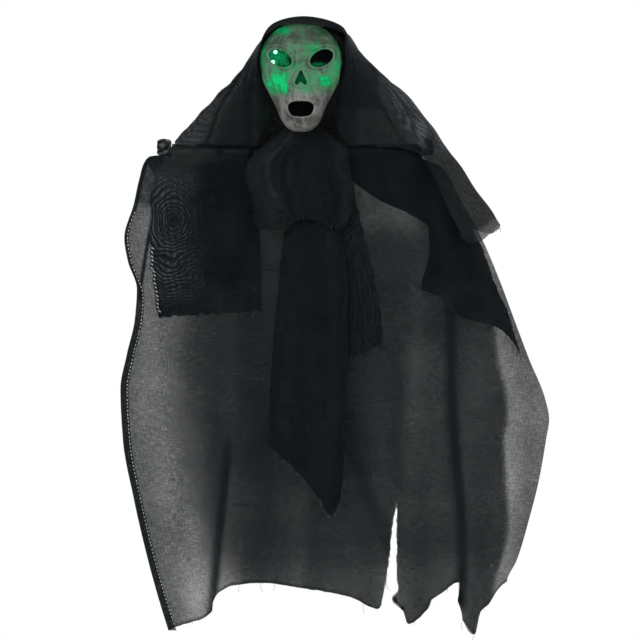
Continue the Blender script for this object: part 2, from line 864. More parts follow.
@dataclass(frozen=True)
class BoneFinish:
    """Thin painted plastic in bone grey, stained in its hollows and lit green from inside in patches.

    Attributes:
        name: The material's name.
        pale: The colour of the high places.
        stain: The colour of the hollows.
        glow: The colour of the light that comes through.
        patches: Each lit patch's middle, half sizes and strength.
    """

    name: str
    pale: Colour = (0.235, 0.235, 0.222)
    stain: Colour = (0.022, 0.026, 0.024)
    glow: Colour = (0.0, 0.330, 0.098)
    patches: tuple[tuple[Colour, Colour, float], ...] = (
        ((-0.030, -0.085, -0.012), (0.022, 0.08, 0.015), 0.60),
        ((-0.030, -0.080, -0.086), (0.030, 0.08, 0.027), 1.0),
        ((-0.016, -0.085, -0.062), (0.028, 0.08, 0.016), 0.62),
        ((0.020, -0.088, -0.040), (0.024, 0.08, 0.018), 0.66),
        ((0.036, -0.080, -0.084), (0.017, 0.08, 0.020), 0.85),
        ((0.008, -0.092, -0.088), (0.034, 0.08, 0.024), 0.48),
        ((-0.054, -0.066, -0.052), (0.014, 0.08, 0.030), 0.40),
        ((0.046, -0.076, -0.030), (0.014, 0.08, 0.014), 0.30),
    )

    def build(self) -> bpy.types.Material:
        """Makes the material from Object coordinates and the mask's marks."""
        g = Surface(self.name)
        place = g.place()
        edge = g.times(g.less(g.noise(place, 62.0, 4.0, 0.62, 0.5), 0.5), 1.5)
        mottle = g.noise(place, 38.0, 5.0, 0.62, 0.8)
        speck = g.noise(place, 520.0, 3.0, 0.6)
        brushed = g.grain(place, (260.0, 260.0, 46.0), 4.0, 0.6, move=(0.4, 0.1, 0.9))
        smear = g.grain(place, (70.0, 70.0, 30.0), 4.0, 0.6, 0.9, move=(0.2, 0.5, 0.3))
        crown = g.spot(place, (0.004, -0.09, -0.022), (0.040, 0.08, 0.024), edge)
        brow = g.spot(place, (0.030, -0.08, -0.012), (0.022, 0.08, 0.012), edge)
        layers = (
            (g.remap(mottle, 0.40, 0.64), (0.085, 0.088, 0.080)),
            (g.remap(smear, 0.54, 0.70, 0.0, 0.75), (0.040, 0.044, 0.040)),
            (g.remap(smear, 0.44, 0.30, 0.0, 0.55), (0.34, 0.345, 0.33)),
            (g.times(crown, 0.72), (0.070, 0.068, 0.060)),
            (g.times(brow, 0.75), (0.038, 0.034, 0.028)),
            (g.times(g.remap(brushed, 0.52, 0.72), 0.45), (0.085, 0.080, 0.070)),
            (g.times(g.mark("hollow"), g.remap(mottle, 0.2, 0.75, 0.75, 1.1), clamp=True), self.stain),
            (g.times(g.mark("edge"), 0.8), (0.30, 0.31, 0.29)),
            (g.remap(speck, 0.60, 0.75, 0.0, 0.35), (0.05, 0.05, 0.045)),
        )
        shade: object = self.pale
        for share, colour in layers:
            shade = g.blend(share, shade, colour)
        down = g.parts(place)[2]
        wash = g.times(g.remap(down, -0.112, -0.088), g.remap(down, -0.020, -0.045, 0.24, 0.50))
        lit = g.times(wash, g.remap(mottle, 0.35, 0.62, 1.25, 0.45))
        for centre, size, strength in self.patches:
            lit = g.most(lit, g.times(g.spot(place, centre, size, edge), strength))
        lit = g.times(lit, g.remap(smear, 0.36, 0.66, 1.12, 0.55))
        lit = g.times(lit, g.less(1.0, g.times(g.mark("hollow"), 0.7), clamp=True), clamp=True)
        shade = g.blend(g.times(lit, 1.5, clamp=True), shade, (0.0012, 0.022, 0.010))
        g.bump(mottle, 0.18, 0.0012)
        g.bump(speck, 0.16, 0.0003)
        return g.finish(
            Base_Color=shade, Roughness=g.remap(mottle, 0.2, 0.8, 0.42, 0.62), Specular_IOR_Level=0.16,
            Emission_Color=self.glow, Emission_Strength=g.times(lit, g.remap(lit, 0.0, 1.0, 0.72, 1.60)),
        )


@dataclass(frozen=True)
class LampFinish:
    """A clear green lamp that is lit: white-hot in the middle of its dome."""

    name: str
    centre: Colour
    strength: float = 5.0

    def build(self) -> bpy.types.Material:
        """Makes the material from Object coordinates."""
        g = Surface(self.name)
        place = g.place()
        core = g.spot(place, self.centre, (0.0030, 0.0040, 0.0030))
        g.bump(g.noise(place, 700.0), 0.05, 0.0002)
        return g.finish(
            Base_Color=(0.08, 0.65, 0.25), Roughness=0.15,
            Emission_Color=g.blend(core, (0.02, 0.75, 0.25), (0.62, 1.0, 0.80)),
            Emission_Strength=g.times(g.remap(core, 0.0, 1.0, 0.5, 1.0), self.strength),
        )


@dataclass(frozen=True)
class LitPlateFinish:
    """Black plate whose front is lit green round the lamps, and pale on its tongue."""

    name: str
    colour: Colour = (0.0028, 0.0042, 0.0048)

    def build(self) -> bpy.types.Material:
        """Makes the material from Object coordinates."""
        g = Surface(self.name)
        place = g.place()
        x, y, z = g.parts(place)
        broken = g.times(g.less(g.noise(place, 150.0, 4.0, 0.65, 0.4), 0.5), 1.9)
        near = g.spot(place, (-0.036, -0.05, -0.052), (0.025, 0.02, 0.022), broken)
        band = g.spot(place, (0.026, -0.05, -0.060), (0.019, 0.02, 0.0055), g.times(broken, 0.5))
        nose = g.spot(place, (0.0, -0.05, -0.082), (0.016, 0.02, 0.014), g.times(broken, 0.4))
        lit = g.most(g.most(near, g.times(band, 0.42)), g.times(nose, 0.30))
        holes = g.remap(g.cells(place, 210.0), 0.02, 0.16)
        lit = g.times(lit, g.remap(holes, 0.0, 1.0, 0.55, 1.0))
        tongue = g.times(g.remap(z, -0.126, -0.131), g.remap(x, 0.0240, 0.0252))
        streak = g.grain(place, (500.0, 500.0, 70.0), 3.0, 0.6)
        shade = g.tones(g.noise(place, 240.0, 3.0, 0.6), self.colour, 1.0, 2.0)
        shade = g.blend(tongue, shade, g.blend(streak, (0.10, 0.16, 0.13), (0.34, 0.38, 0.36)))
        g.bump(streak, 0.2, 0.0003)
        return g.finish(
            Base_Color=shade, Roughness=0.8, Specular_IOR_Level=0.08, Emission_Color=(0.004, 0.235, 0.075),
            Emission_Strength=g.times(lit, g.remap(y, -0.0488, -0.0496)),
        )


@dataclass(frozen=True)
class BoardFinish:
    """A green circuit board with copper tracks under its lacquer and tinned spots."""

    name: str

    def build(self) -> bpy.types.Material:
        """Makes the material from Object coordinates."""
        g = Surface(self.name)
        place = g.place()
        track = g.remap(g.cells(g.mapped(place, (1.0, 0.0, 1.0)), 190.0), 0.05, 0.09)
        dots = g.remap(g.cells(g.mapped(place, (1.0, 0.0, 1.0), (0.3, 0.0, 0.7)), 240.0, "F1"), 0.20, 0.15)
        shade = g.blend(track, (0.035, 0.20, 0.085), (0.012, 0.11, 0.045))
        g.bump(track, 0.3, 0.0002)
        return g.finish(
            Base_Color=g.blend(dots, shade, (0.62, 0.62, 0.60)), Roughness=g.remap(dots, 0.0, 1.0, 0.35, 0.25)
        )


@dataclass(frozen=True)
class FloorFinish:
    """Plain pale floor."""

    name: str = "pale_floor"

    def build(self) -> bpy.types.Material:
        """Makes the material from Object coordinates."""
        g = Surface(self.name)
        tone = g.blend(g.noise(g.place(), 6.0, 3.0), (0.80, 0.80, 0.795), (0.83, 0.83, 0.825))
        return g.finish(Base_Color=tone, Roughness=0.8)


# Cloth pieces -----------------------------------------------------------------------------------


def row_of(*parts: np.ndarray | float) -> np.ndarray:
    """One row of points from their parts."""
    return np.stack(np.broadcast_arrays(*parts), axis=1)


def over_bar(x: np.ndarray, radius: float, side: Side, tail: float = 0.0) -> list[np.ndarray]:
    """Rows of a cloth over the bar, from its hidden hem over the top to its hanging side.

    Args:
        x: The points' places across.
        radius: How far from the bar's axis the cloth lies.
        side: The side that it hangs on.
        tail: How far it hangs down on the other side.

    Returns:
        The rows.
    """
    rows = [(-radius, -tail * (1 - k / 4)) for k in range(4)] if tail else []
    turns = [math.pi * k / CASING_STEPS for k in range(CASING_STEPS + 1)]
    rows += [(-radius * math.cos(turn), radius * math.sin(turn)) for turn in turns]
    return [row_of(x, side.value * depth, ROD_Z + height) for depth, height in rows]


def near_edges(share: np.ndarray) -> np.ndarray:
    """1 on a cloth's left and right edges, and 0 away from them."""
    return np.where(share < 0.5, np.exp(-share * 40), np.exp((share - 1) * 40))


@dataclass
class Robe:
    """One side of the long gauze robe, with a casing on the bar and a slit at its lower right.

    Attributes:
        name: The piece's name.
        node: The solid that it stands for.
        side: Front or back.
        left: The outer left edge, as (share of half the bar, share of the drop) rows.
        right: The outer right edge.
        seed: Chooses its torn edges.
        hem_scale: How far down its hem hangs against the front's.
        slit_left: The slit's left side, as an edge.
        slit_right: Its right side.
        hem_left: The left half's hem, as (share across, share down) rows.
        hem_right: The right half's hem.
        folds: Each pressed fold's (share down, across) route, its widths to both sides and its strength.
        notch_left: Places across the left half that its notched hem needs, as shares.
        notch_right: The same on the right half.
        rows_down: How many rows it has above the slit and beside it.
        neck_half: Half the width of the gap round the post.
        band: How wide the folded hem on its left edge is.
        seam_upper: How far in from the edge the stitches run above the waist.
        seam_margin: How far in from the folded hem's edge they run below it.
    """

    name: str
    node: str
    side: Side
    left: Rows
    right: Rows
    seed: int
    hem_scale: float = 1.0
    slit_left: Rows = (
        (0.70, 0.0), (0.70, 0.72), (0.671, 0.761), (0.642, 0.837), (0.62, 0.885), (0.591, 0.926), (0.58, 1.0),
    )
    slit_right: Rows = (
        (0.70, 0.0), (0.70, 0.885), (0.715, 0.905), (0.664, 0.926), (0.737, 0.946), (0.744, 1.0),
    )
    slit_top: float = 0.72
    hem_left: Rows = (
        (0.0, 0.990), (0.052, 0.9806), (0.228, 0.9489), (0.243, 0.9286), (0.275, 0.9105), (0.327, 0.8978),
        (0.384, 0.8932), (0.466, 0.891), (0.63, 0.901), (0.857, 0.92), (0.985, 0.944), (1.0, 0.935),
    )
    hem_right: Rows = (
        (0.0, 0.936), (0.05, 0.975), (0.30, 0.935), (0.563, 0.889), (0.5655, 0.889), (0.5745, 0.966),
        (0.60, 0.972), (0.70, 0.997), (0.75, 0.951), (0.85, 0.932), (0.916, 0.905), (1.0, 0.889),
    )
    folds: tuple[tuple[Rows, tuple[float, float], float], ...] = (
        (((0.105, -0.2115), (0.191, -0.2232), (0.290, -0.2345)), (0.0019, 0.0019), 1.9),
        (((0.55, -0.1030), (0.62, -0.1055), (0.80, -0.118), (0.95, -0.128)), (0.0070, 0.0036), 1.15),
        (((0.25, 0.205), (0.31, 0.2144), (0.40, 0.2195), (0.475, 0.2195), (0.582, 0.2232), (0.796, 0.2349),
          (0.90, 0.2349)), (0.0085, 0.0060), 0.95),
        (((0.53, 0.072), (0.60, 0.076), (0.681, 0.086), (0.763, 0.1123), (0.82, 0.128)), (0.010, 0.014),
         0.42),
        (((0.78, -0.0744), (0.95, -0.0850)), (0.009, 0.009), 0.16),
    )
    notch_left: tuple[float, ...] = (0.2285, 0.232, 0.2355, 0.239, 0.2425)
    notch_right: tuple[float, ...] = (0.5657, 0.568, 0.5715, 0.5745)
    rows_down: tuple[int, int] = (128, 70)
    casing_tail: float = 0.012
    neck_half: float = 0.022
    band: float = 0.0115
    seam_upper: float = 0.0048
    seam_margin: float = 0.0018

    def drawn_in(self, share: np.ndarray, depth: np.ndarray, drop: np.ndarray) -> np.ndarray:
        """Draws the outer edges in towards the bar's axis."""
        ramp = rise(drop, 0.016, 0.105)
        return depth + (0.003 - depth) * (1.0 - smooth(share / 0.12)) * ramp

    def half(self, left: Rows, right: Rows, hem: Rows, columns: int, outer_left: bool) -> Patch:
        """Builds one half, from its casing to its hem.

        Args:
            left: Its left edge.
            right: Its right edge.
            hem: Its hem, as (share across, share down) rows.
            columns: How many columns it has.
            outer_left: Whether the left edge is the robe's outer one.

        Returns:
            The half as a patch.
        """
        share = np.linspace(0.0, 1.0, columns)
        if outer_left:
            fine = np.linspace(0.0, share[10], 34, endpoint=False)
            share = np.sort(np.concatenate([share[10:], fine, self.notch_left]))
        else:
            share = np.sort(np.concatenate([share, self.notch_right]))
        outer = share if outer_left else 1.0 - share
        x = spread(left, right, np.zeros_like(share), share, ROD_HALF)
        rows = over_bar(x, HANG[self.side][0], self.side, self.casing_tail)
        flats = [row_of(x, -0.003 * (len(rows) - k)) for k in range(len(rows))]
        torn = ragged(share * 0.5, self.seed, 0.0005)
        upper, lower = self.rows_down
        downs = np.concatenate([np.linspace(0.004, self.slit_top, upper), np.full(lower, self.slit_top)])
        lows = np.concatenate([np.zeros(upper), np.linspace(1 / lower, 1.0, lower)])
        for down, low in zip(downs, lows):
            hang = read(hem, share) * self.hem_scale - self.slit_top
            place = down + low * hang + low**6 * torn / ROBE_DROP
            drop = place * ROBE_DROP
            frayed = ragged(drop, self.seed + 5, 0.0011) * np.exp(-(1.0 - outer) * 60) * rise(place, 0.1, 0.1)
            x = spread(left, right, place, share, ROD_HALF) + frayed
            depth = self.drawn_in(outer, robe_depth(x, drop, self.side), drop)
            if self.side is Side.FRONT:
                folds = self.fold_lines(x, place)
                depth = depth + sum(0.003 * min(strength, 1.0) * shape for shape, strength in folds)
            rows.append(row_of(x, self.side.value * depth, ROD_Z - drop))
            flats.append(row_of(x, drop))
        points = np.stack(rows)
        return Patch(points, np.stack(flats), self.thick_at(points, outer_left))

    def fold_lines(self, x: np.ndarray, down: np.ndarray) -> list[tuple[np.ndarray, float]]:
        """The long pressed folds of the front.

        Args:
            x: Across.
            down: Down, as a share of the drop.

        Returns:
            Each fold's shape, from 0 to 1, and its strength.
        """
        made = []
        for route, (wide_left, wide_right), strength in self.folds:
            away = x - read(route, down)
            first, last = route[0][0], route[-1][0]
            ramp = min(0.12, 0.3 * (last - first))
            ends = rise(down, first, ramp) * fall(down, last + ramp / 2, 0.4 * ramp)
            made.append((hump(away, 0.0, np.where(away < 0, wide_left, wide_right)) * ends, strength))
        return made

    def thick_at(self, points: np.ndarray, outer_left: bool) -> np.ndarray:
        """Where the cloth lies closer together or hangs thinner.

        Args:
            points: The half's points.
            outer_left: Whether its left edge is the robe's outer one.

        Returns:
            Extra layers of cloth at each point.
        """
        x, z = points[..., 0], points[..., 2]
        down = (ROD_Z - z) / ROBE_DROP
        off_edge = np.abs(x - (points[:, :1, 0] if outer_left else points[:, -1:, 0]))
        near = 1.0 - smooth(off_edge / 0.05)
        beyond = rise(x, 0.135, 0.02)
        thin = -0.12 * np.maximum(rise(down, 0.62, 0.12), beyond * rise(down, 0.35, 0.10))
        thin = (thin - 0.24 * rise(down, 0.80, 0.11)) * (1.0 - 0.35 * beyond * rise(down, 0.72, 0.06))
        streaks = 0.07 * waves(x, down * 0.08, self.seed, 0.045)
        if self.side is Side.BACK:
            faded = 1.0 - smooth(off_edge / (0.082 if outer_left else 0.012))
            return (streaks + thin) * (1.0 - faded) - 0.97 * faded * rise(down, 0.02, 0.05)
        middle = 0.24 * rise(x, -0.110, 0.03) * fall(x, 0.125, 0.03) * smooth(down / 0.28)
        total = streaks + thin * (1.0 - 0.7 * near) + middle
        if outer_left:
            total = total + (0.14 + 0.16 * rise(down, 0.70, 0.10)) * (1.0 - smooth(off_edge / 0.09))
        else:
            total = total + 0.10 * near
        doubled = fall(x, -0.196, 0.008) * fall(down, 0.115 + 0.5 * (x + 0.24), 0.016)
        total = total + 0.54 * doubled * (1.0 + 0.14 * waves(x, down * 0.7, self.seed + 2, 0.018))
        total = total + 0.45 * fall(z, points[-1:, :, 2] + 0.0045, 0.0015)
        total = total - 0.55 * rise(x, 0.070, 0.03) * fall(x, 0.185, 0.03) * fall(down, 0.20, 0.06)
        return total + sum(shape * strength for shape, strength in self.fold_lines(x, down))

    def below_waist(self, z: np.ndarray) -> np.ndarray:
        """0 above the waist of the outer left edge, and 1 below it."""
        return fall(z, ROD_Z - 0.19, 0.03)


    def edge_strip(self, half: Patch) -> Patch:
        """Folds the outer left edge back on itself as a narrow hem.

        Args:
            half: The half that the hem belongs to.

        Returns:
            The folded strip as a patch that starts on the edge.
        """
        edge, flat = half.points[HANG_START:, 0], half.uv[HANG_START:, 0]
        wide = self.band * (0.55 + 0.45 * self.below_waist(edge[:, 2]))
        layers = ((0.0, 0.0), (0.13, 0.0012), (0.5, 0.0016), (1.0, 0.0014))
        points = [edge + row_of(share * wide, -self.side.value * depth, 0.0) for share, depth in layers]
        uv = [flat + row_of(share * wide, 0.0) for share, _ in layers]
        return Patch(np.stack(points, axis=1), np.stack(uv, axis=1), np.full((len(edge), len(layers)), 0.05))

    def seam_line(self, points: np.ndarray) -> np.ndarray:
        """The line on the cloth that its hem's stitches follow along the outer left edge.

        Args:
            points: The half's hanging points.

        Returns:
            The line's points.
        """
        line = []
        for row in points:
            upper, lower = self.seam_upper, self.band - self.seam_margin
            x = row[0, 0] + upper + (lower - upper) * self.below_waist(row[0, 2])
            line.append([x] + [np.interp(x, row[:, 0], row[:, k]) for k in (1, 2)])
        return np.array(line)

    def over_neck(self, middles: np.ndarray) -> np.ndarray:
        """The faces that are cut out round the post."""
        return (np.abs(middles[:, 0]) < self.neck_half) & (middles[:, 2] > ROD_Z - 0.012)

    def build(self, finish: bpy.types.Material) -> bpy.types.Object:
        """Args:
            finish: Its gauze.

        Returns:
            The piece.
        """
        left = self.half(self.left, self.slit_left, self.hem_left, 112, True)
        right = self.half(self.slit_right, self.right, self.hem_right, 66, False)
        self.left_edge = self.seam_line(left.points[HANG_START:])
        self.hems = (left.points[-1], right.points[-1])
        self.slit = left.points[-52:, -1]
        strips = [self.edge_strip(left)] if self.side is Side.FRONT else []
        piece = make_sheet(self.name, [left, right] + strips, self.over_neck)
        area = round(sheet_area(piece) * 0.98, 3)
        present(piece, finish, self.node, f"{area:.3f} m2 of gauze")
        return piece


@dataclass
class Sleeve:
    """A short cloth folded over the bar: a back flap, the fold and the front flap.

    Attributes:
        name: The piece's name.
        node: The solid that it stands for.
        left: Its left edge, as (share of half the bar, share of the robe's drop) rows.
        right: Its right edge.
        hem: The front flap's hem, as (share across, share down) rows.
        seed: Chooses its torn edges.
        flat: Its flat width and length.
        beat: How strongly its weave beats with the robe's along its left edge.
        light: How much its roll over the bar catches the light.
    """

    name: str
    node: str
    left: Rows
    right: Rows
    hem: Rows
    seed: int
    flat: tuple[float, float]
    beat: float = 0.0
    light: float = 1.0
    back_drop: float = 0.205
    stand: float = 0.006

    def lift(self, x: np.ndarray, drop: np.ndarray) -> np.ndarray:
        """How far it stands off the robe."""
        ramp = smooth(drop / (ROBE_DROP / 4))
        uneven = 0.0013 * waves(x, drop * 0.4, self.seed + 9, 0.05)
        return SLEEVE_R - FRONT_CASING_R + ramp * (self.stand + uneven)

    def build(self, finish: bpy.types.Material) -> bpy.types.Object:
        """Args:
            finish: Its gauze.

        Returns:
            The piece.
        """
        share = np.linspace(0.0, 1.0, 72)
        torn = ragged(share * 0.25, self.seed, 0.0020)
        front = read(self.hem, share) * ROBE_DROP
        back_downs, front_downs = np.linspace(1.0, 0.02, 52), np.linspace(0.015, 1.0, 84)
        rows = [self.row(share, down * self.back_drop + down**8 * torn, Side.BACK) for down in back_downs]
        rows += over_bar(spread(self.left, self.right, np.zeros(1), share, ROD_HALF), SLEEVE_R, Side.FRONT)
        flap = [self.row(share, down * front + down**8 * torn, Side.FRONT) for down in front_downs]
        points = np.stack(rows + flap)
        self.hem_line, self.outer = points[-1], points[-len(flap):, 0]
        patch = Patch(points, arc_uv(points), self.dense_at(points), self.ridge(points), self.beat_at(points))
        piece = make_sheet(self.name, [patch])
        present(piece, finish, self.node, f"{sheet_area(piece):.3f} m2 of gauze")
        return piece


    def dense_at(self, points: np.ndarray) -> np.ndarray:
        """Extra layers: the part of the front that hangs below the back flap, and the rolled hem."""
        dense = 1.3 * fall(points[..., 2], ROD_Z - self.back_drop + 0.02, 0.02) * (points[..., 1] < 0)
        dense[-3:] += 0.5
        return dense


    def beat_at(self, points: np.ndarray) -> np.ndarray:
        """Where its weave beats with the robe's: down the left side of the front."""
        x, drop = points[..., 0], ROD_Z - points[..., 2]
        fade = fall(x - points[:, :1, 0], 0.092, 0.080) * rise(drop, 0.022, 0.035) * fall(drop, 0.236, 0.05)
        uneven = np.clip(0.85 + 0.25 * waves(x, drop, self.seed + 12, 0.03), 0.0, 1.2)
        return self.beat * fade * (points[..., 1] < 0) * uneven

    def ridge(self, points: np.ndarray) -> np.ndarray:
        """How much light thread shows on the front's roll over the bar and on its soft folds."""
        x, drop = points[..., 0], ROD_Z - points[..., 2]
        broken = smooth(0.75 + 0.4 * waves(x, drop * 0, self.seed, 0.028))
        thin = 0.30 * self.light * hump(drop, 0.0045, 0.0014) * broken
        roll = 0.022 * self.light * hump(drop, 0.013, 0.0050)
        roll = roll * (1.0 + 0.4 * waves(x, drop, self.seed + 1, 0.02))
        soft = 0.020 * np.clip(0.5 + waves(x, drop * 0.35, self.seed + 4, 0.034), 0.0, 2.0)
        top = 0.200 * fall(drop, 0.085, 0.06) * fall(x, points[:, :1, 0] + 0.080, 0.06)
        return (thin + roll + soft * smooth(drop / 0.02) + self.beat * top) * (points[..., 1] < 0)

    def row(self, share: np.ndarray, drop: np.ndarray, side: Side) -> np.ndarray:
        """One row of the flap on one side of the bar."""
        x = spread(self.left, self.right, drop / ROBE_DROP, share, ROD_HALF)
        x = x + ragged(drop, self.seed + 2, 0.0015) * smooth(drop / 0.05) * near_edges(share)
        depth = robe_depth(x, drop, side) + FRONT_CASING_R - HANG[side][0] + self.lift(x, drop)
        if side is Side.FRONT:
            roll = 1.0 + 0.25 * waves(x, drop, self.seed, 0.03)
            depth = depth + 0.0036 * hump(drop, 0.014, 0.0085) * roll
        return row_of(x, side.value * depth, ROD_Z - drop)


@dataclass
class ScarfPiece:
    """One layer of the scarf that hangs from its knot under the chin.

    Attributes:
        name: The piece's name.
        node: The solid that it stands for.
        left: Its left edge, as (share of the scarf's width, share of its own drop) rows.
        right: Its right edge.
        hem: Its hem, as (share across, share down) rows.
        length: How far down it hangs.
        layer: How many layers of scarf lie behind it.
        seed: Chooses its torn edges and folds.
        flat: Its flat width and length.
        dense: The extra layers that it is folded into.
        gather: How strongly its folds run together at the knot.
        pleat: Where a pleat steps forward, as a share across, and by how much.
        flare: How far its hem stands forward.
        furrow: How deep its long soft folds are.
        beat: How strongly its weave beats with the next layer's.
        lights: Lighter folds, each as a (share down, share across) route, half its width and its strength.
    """

    name: str
    node: str
    left: Rows
    right: Rows
    hem: Rows
    length: float
    layer: int
    seed: int
    flat: tuple[float, float]
    dense: float = 1.0
    gather: float = 0.0
    pleat: tuple[float, float] = (0.5, 0.0)
    flare: float = 0.0
    furrow: float = 0.0
    beat: float = 0.0
    lights: tuple[tuple[Rows, float, float], ...] = ()
    top_z: float = -0.134
    knot_length: float = 0.022
    width: float = 0.160
    start_y: float = 0.0176

    def depth(self, x: np.ndarray, z: np.ndarray, share: np.ndarray) -> np.ndarray:
        """How far it hangs before the bar's axis.

        Args:
            x: Across.
            z: Up.
            share: Across, as a share of its width.

        Returns:
            The depth, in metres.
        """
        down = (self.top_z - z) / self.length
        below = fall(z, self.top_z - self.knot_length, self.knot_length * 3)
        own = robe_depth(x, np.maximum(ROD_Z - z, 0.0), Side.FRONT) + self.start_y - FRONT_CASING_R
        own = own + self.layer * (CLOTH + GAP + 0.003 * below)
        fan = np.sin(2 * math.pi * (share * 5.0 + 0.15 * math.sin(self.seed)) + down * 1.2)
        ripple = self.gather * fan * np.exp(-down * self.length / 0.075)
        ripple = ripple + 0.0009 * waves(x, z * 0.35, self.seed, 0.028)
        start, height = self.pleat
        pleat = height * rise(share, start, 0.03) * (1.0 - 0.8 * rise(share, start + 0.10, 0.40))
        wander = share * 2.1 + 0.25 * np.sin(down * 3.0)
        long = self.furrow * (0.5 + 0.5 * np.sin(2 * math.pi * wander + self.seed)) * rise(down, 0.32, 0.2)
        own = own + np.clip(ripple * below, -0.0011, 0.004) + pleat * below
        return own + self.flare * rise(down, 0.5, 0.5) + long

    def lit_folds(self, share: np.ndarray, down: np.ndarray) -> np.ndarray:
        """How much light the raised folds catch.

        Args:
            share: The places across.
            down: The places down.

        Returns:
            The light at each point.
        """
        down, across = down[:, None], share[None, :]
        uneven = waves(across * self.width, down * self.length * 0.3, self.seed + 6, 0.016)
        total = 0.010 * np.clip(0.6 + uneven, 0.0, 2.0)
        for route, width, strength in self.lights:
            broken = 1.0 + 0.3 * waves(across * 0.1, down * self.length, self.seed + 7, 0.02)
            ends = rise(down, route[0][0] - 0.02, 0.08) * fall(down, route[-1][0] + 0.05, 0.10)
            total = total + 1.9 * strength * hump(across, read(route, down), width) * ends * broken
        return total

    def build(self, finish: bpy.types.Material) -> bpy.types.Object:
        """Args:
            finish: Its gauze.

        Returns:
            The piece.
        """
        share = np.linspace(0.0, 1.0, 64)
        downs = np.linspace(0.0, 1.0, 90 if self.length < 0.2 else 170)
        torn = ragged(share * 0.14, self.seed, 0.0018)
        rows = []
        for down in downs:
            place = down * read(self.hem, share) + down**10 * torn / self.length
            frayed = ragged(place * self.length, self.seed + 3, 0.0010) * smooth(place / 0.2)
            x = spread(self.left, self.right, place, share, self.width) + frayed * near_edges(share)
            z = self.top_z - place * self.length
            rows.append(row_of(x, -self.depth(x, z, share), z))
        points = np.stack(rows)
        self.hem_line, self.left_line, self.right_line = points[-1], points[:, 0], points[:, -1]
        dense = np.full(points.shape[:2], self.dense)
        beat = self.beat * rise(share, 0.5, 0.3)[None, :] * rise(downs, 0.25, 0.2)[:, None]
        patch = Patch(points, arc_uv(points), dense, self.lit_folds(share, downs), beat)
        piece = make_sheet(self.name, [patch])
        present(piece, finish, self.node, f"{sheet_area(piece):.4f} m2 of gauze")
        return piece


@dataclass
class Knot:
    """A bunch of gauze tied round the bar or the post.

    Attributes:
        name: The piece's name.
        node: The solid that it stands for.
        centre: Its middle.
        axis: The way that the bar or post runs: 0 is X, 2 is Z.
        half_length: Half its length on the axis.
        outer: Its two outer radii across the axis.
        inner: The radius of the bar or post in it.
        folds: How many folds go round it.
        seed: Chooses its folds.
        rise: How far its middle is above the axis.
        worn: How much pale thread shows on its folds.
    """

    name: str
    node: str
    centre: Colour
    axis: int
    half_length: float
    outer: tuple[float, float]
    inner: float
    folds: int
    seed: int
    rise: float = 0.0
    worn: float = 0.0

    def surface(self, turn: np.ndarray, roll: np.ndarray, crease: np.ndarray) -> np.ndarray:
        """The bunch's points.

        Args:
            turn: Angles round the bar or post.
            roll: Angles round the ring's own section.
            crease: How far each point is from a crease, from 0 to 1.

        Returns:
            The points, by turn and roll.
        """
        puff = 0.80 + 0.19 * crease + 0.02 * waves(turn * 0.02, roll * 0.01, self.seed, 0.012)
        wide_a, wide_b = self.outer
        reach = 1.0 / np.sqrt((np.cos(turn) / wide_a) ** 2 + (np.sin(turn) / wide_b) ** 2)
        outer, inner = reach + self.rise * np.sin(turn), self.inner + 2 * GAP
        shrunk = 1.0 - (1.0 - puff) * np.maximum(np.cos(roll), 0.0) * 1.2
        radius = (outer + inner) / 2 + (outer - inner) / 2 * np.cos(roll) * shrunk
        height = self.half_length * np.sin(roll) * (0.86 + 0.13 * crease)
        a, b = radius * np.cos(turn), radius * np.sin(turn)
        parts = (height, a, b) if self.axis == 0 else (a, b, height)
        return np.stack([part + shift for part, shift in zip(parts, self.centre)], axis=2)


    def unrolled(self, turn: np.ndarray, roll: np.ndarray, quads: np.ndarray) -> np.ndarray:
        """The flat places of the faces' corners, with the faces that close the ring kept whole.

        Args:
            turn: Angles round the bar or post.
            roll: Angles round the ring's own section.
            quads: The faces.

        Returns:
            One flat place for each corner.
        """
        size = max(self.outer)
        flat = np.stack(np.broadcast_arrays(turn * size, roll * self.half_length), axis=2).reshape(-1, 2)
        corners = flat[quads.reshape(-1)].reshape(-1, 4, 2)
        for k, whole in enumerate((2 * math.pi * size, 2 * math.pi * self.half_length)):
            part = corners[:, :, k]
            closing = (part.max(axis=1) - part.min(axis=1) > whole / 2)[:, None]
            corners[:, :, k] = np.where(closing & (part < whole / 2), part + whole, part)
        return corners


    def build(self, finish: bpy.types.Material) -> bpy.types.Object:
        """Makes the bunch as a closed padded ring with wrapped folds.

        Args:
            finish: Its gauze.

        Returns:
            The piece.
        """
        around, across = 96, 56
        turn = np.linspace(0, 2 * math.pi, around, endpoint=False)[:, None]
        roll = np.linspace(0, 2 * math.pi, across, endpoint=False)[None, :]
        skew = turn + 0.7 * np.sin(roll + self.seed)
        crease = np.abs(np.sin(self.folds * skew / 2 + 1.5 * np.sin(roll))) ** 0.6
        index = np.arange(around * across).reshape(around, across)
        after = np.roll(index, -1, axis=0)
        ring = (index, after, np.roll(after, -1, axis=1), np.roll(index, -1, axis=1))
        quads = np.stack(ring, axis=2).reshape(-1, 4)
        points = self.surface(turn, roll, crease).reshape(-1, 3)
        mesh = cloth_mesh(self.name, points, quads, self.unrolled(turn, roll, quads))
        uneven = 0.5 + 0.5 * waves(turn * 0.03, roll * 0.02, self.seed + 4, 0.03)
        set_mark(mesh, "dense", np.full(len(points), 1.6))
        set_mark(mesh, "pale", np.clip(self.worn * rise(crease, 0.55, 0.4) * uneven, 0.0, 1.0))
        turn_outwards(mesh)
        piece = present(shade_round(linked(self.name, mesh)), finish, self.node, "tied bunch")
        return piece


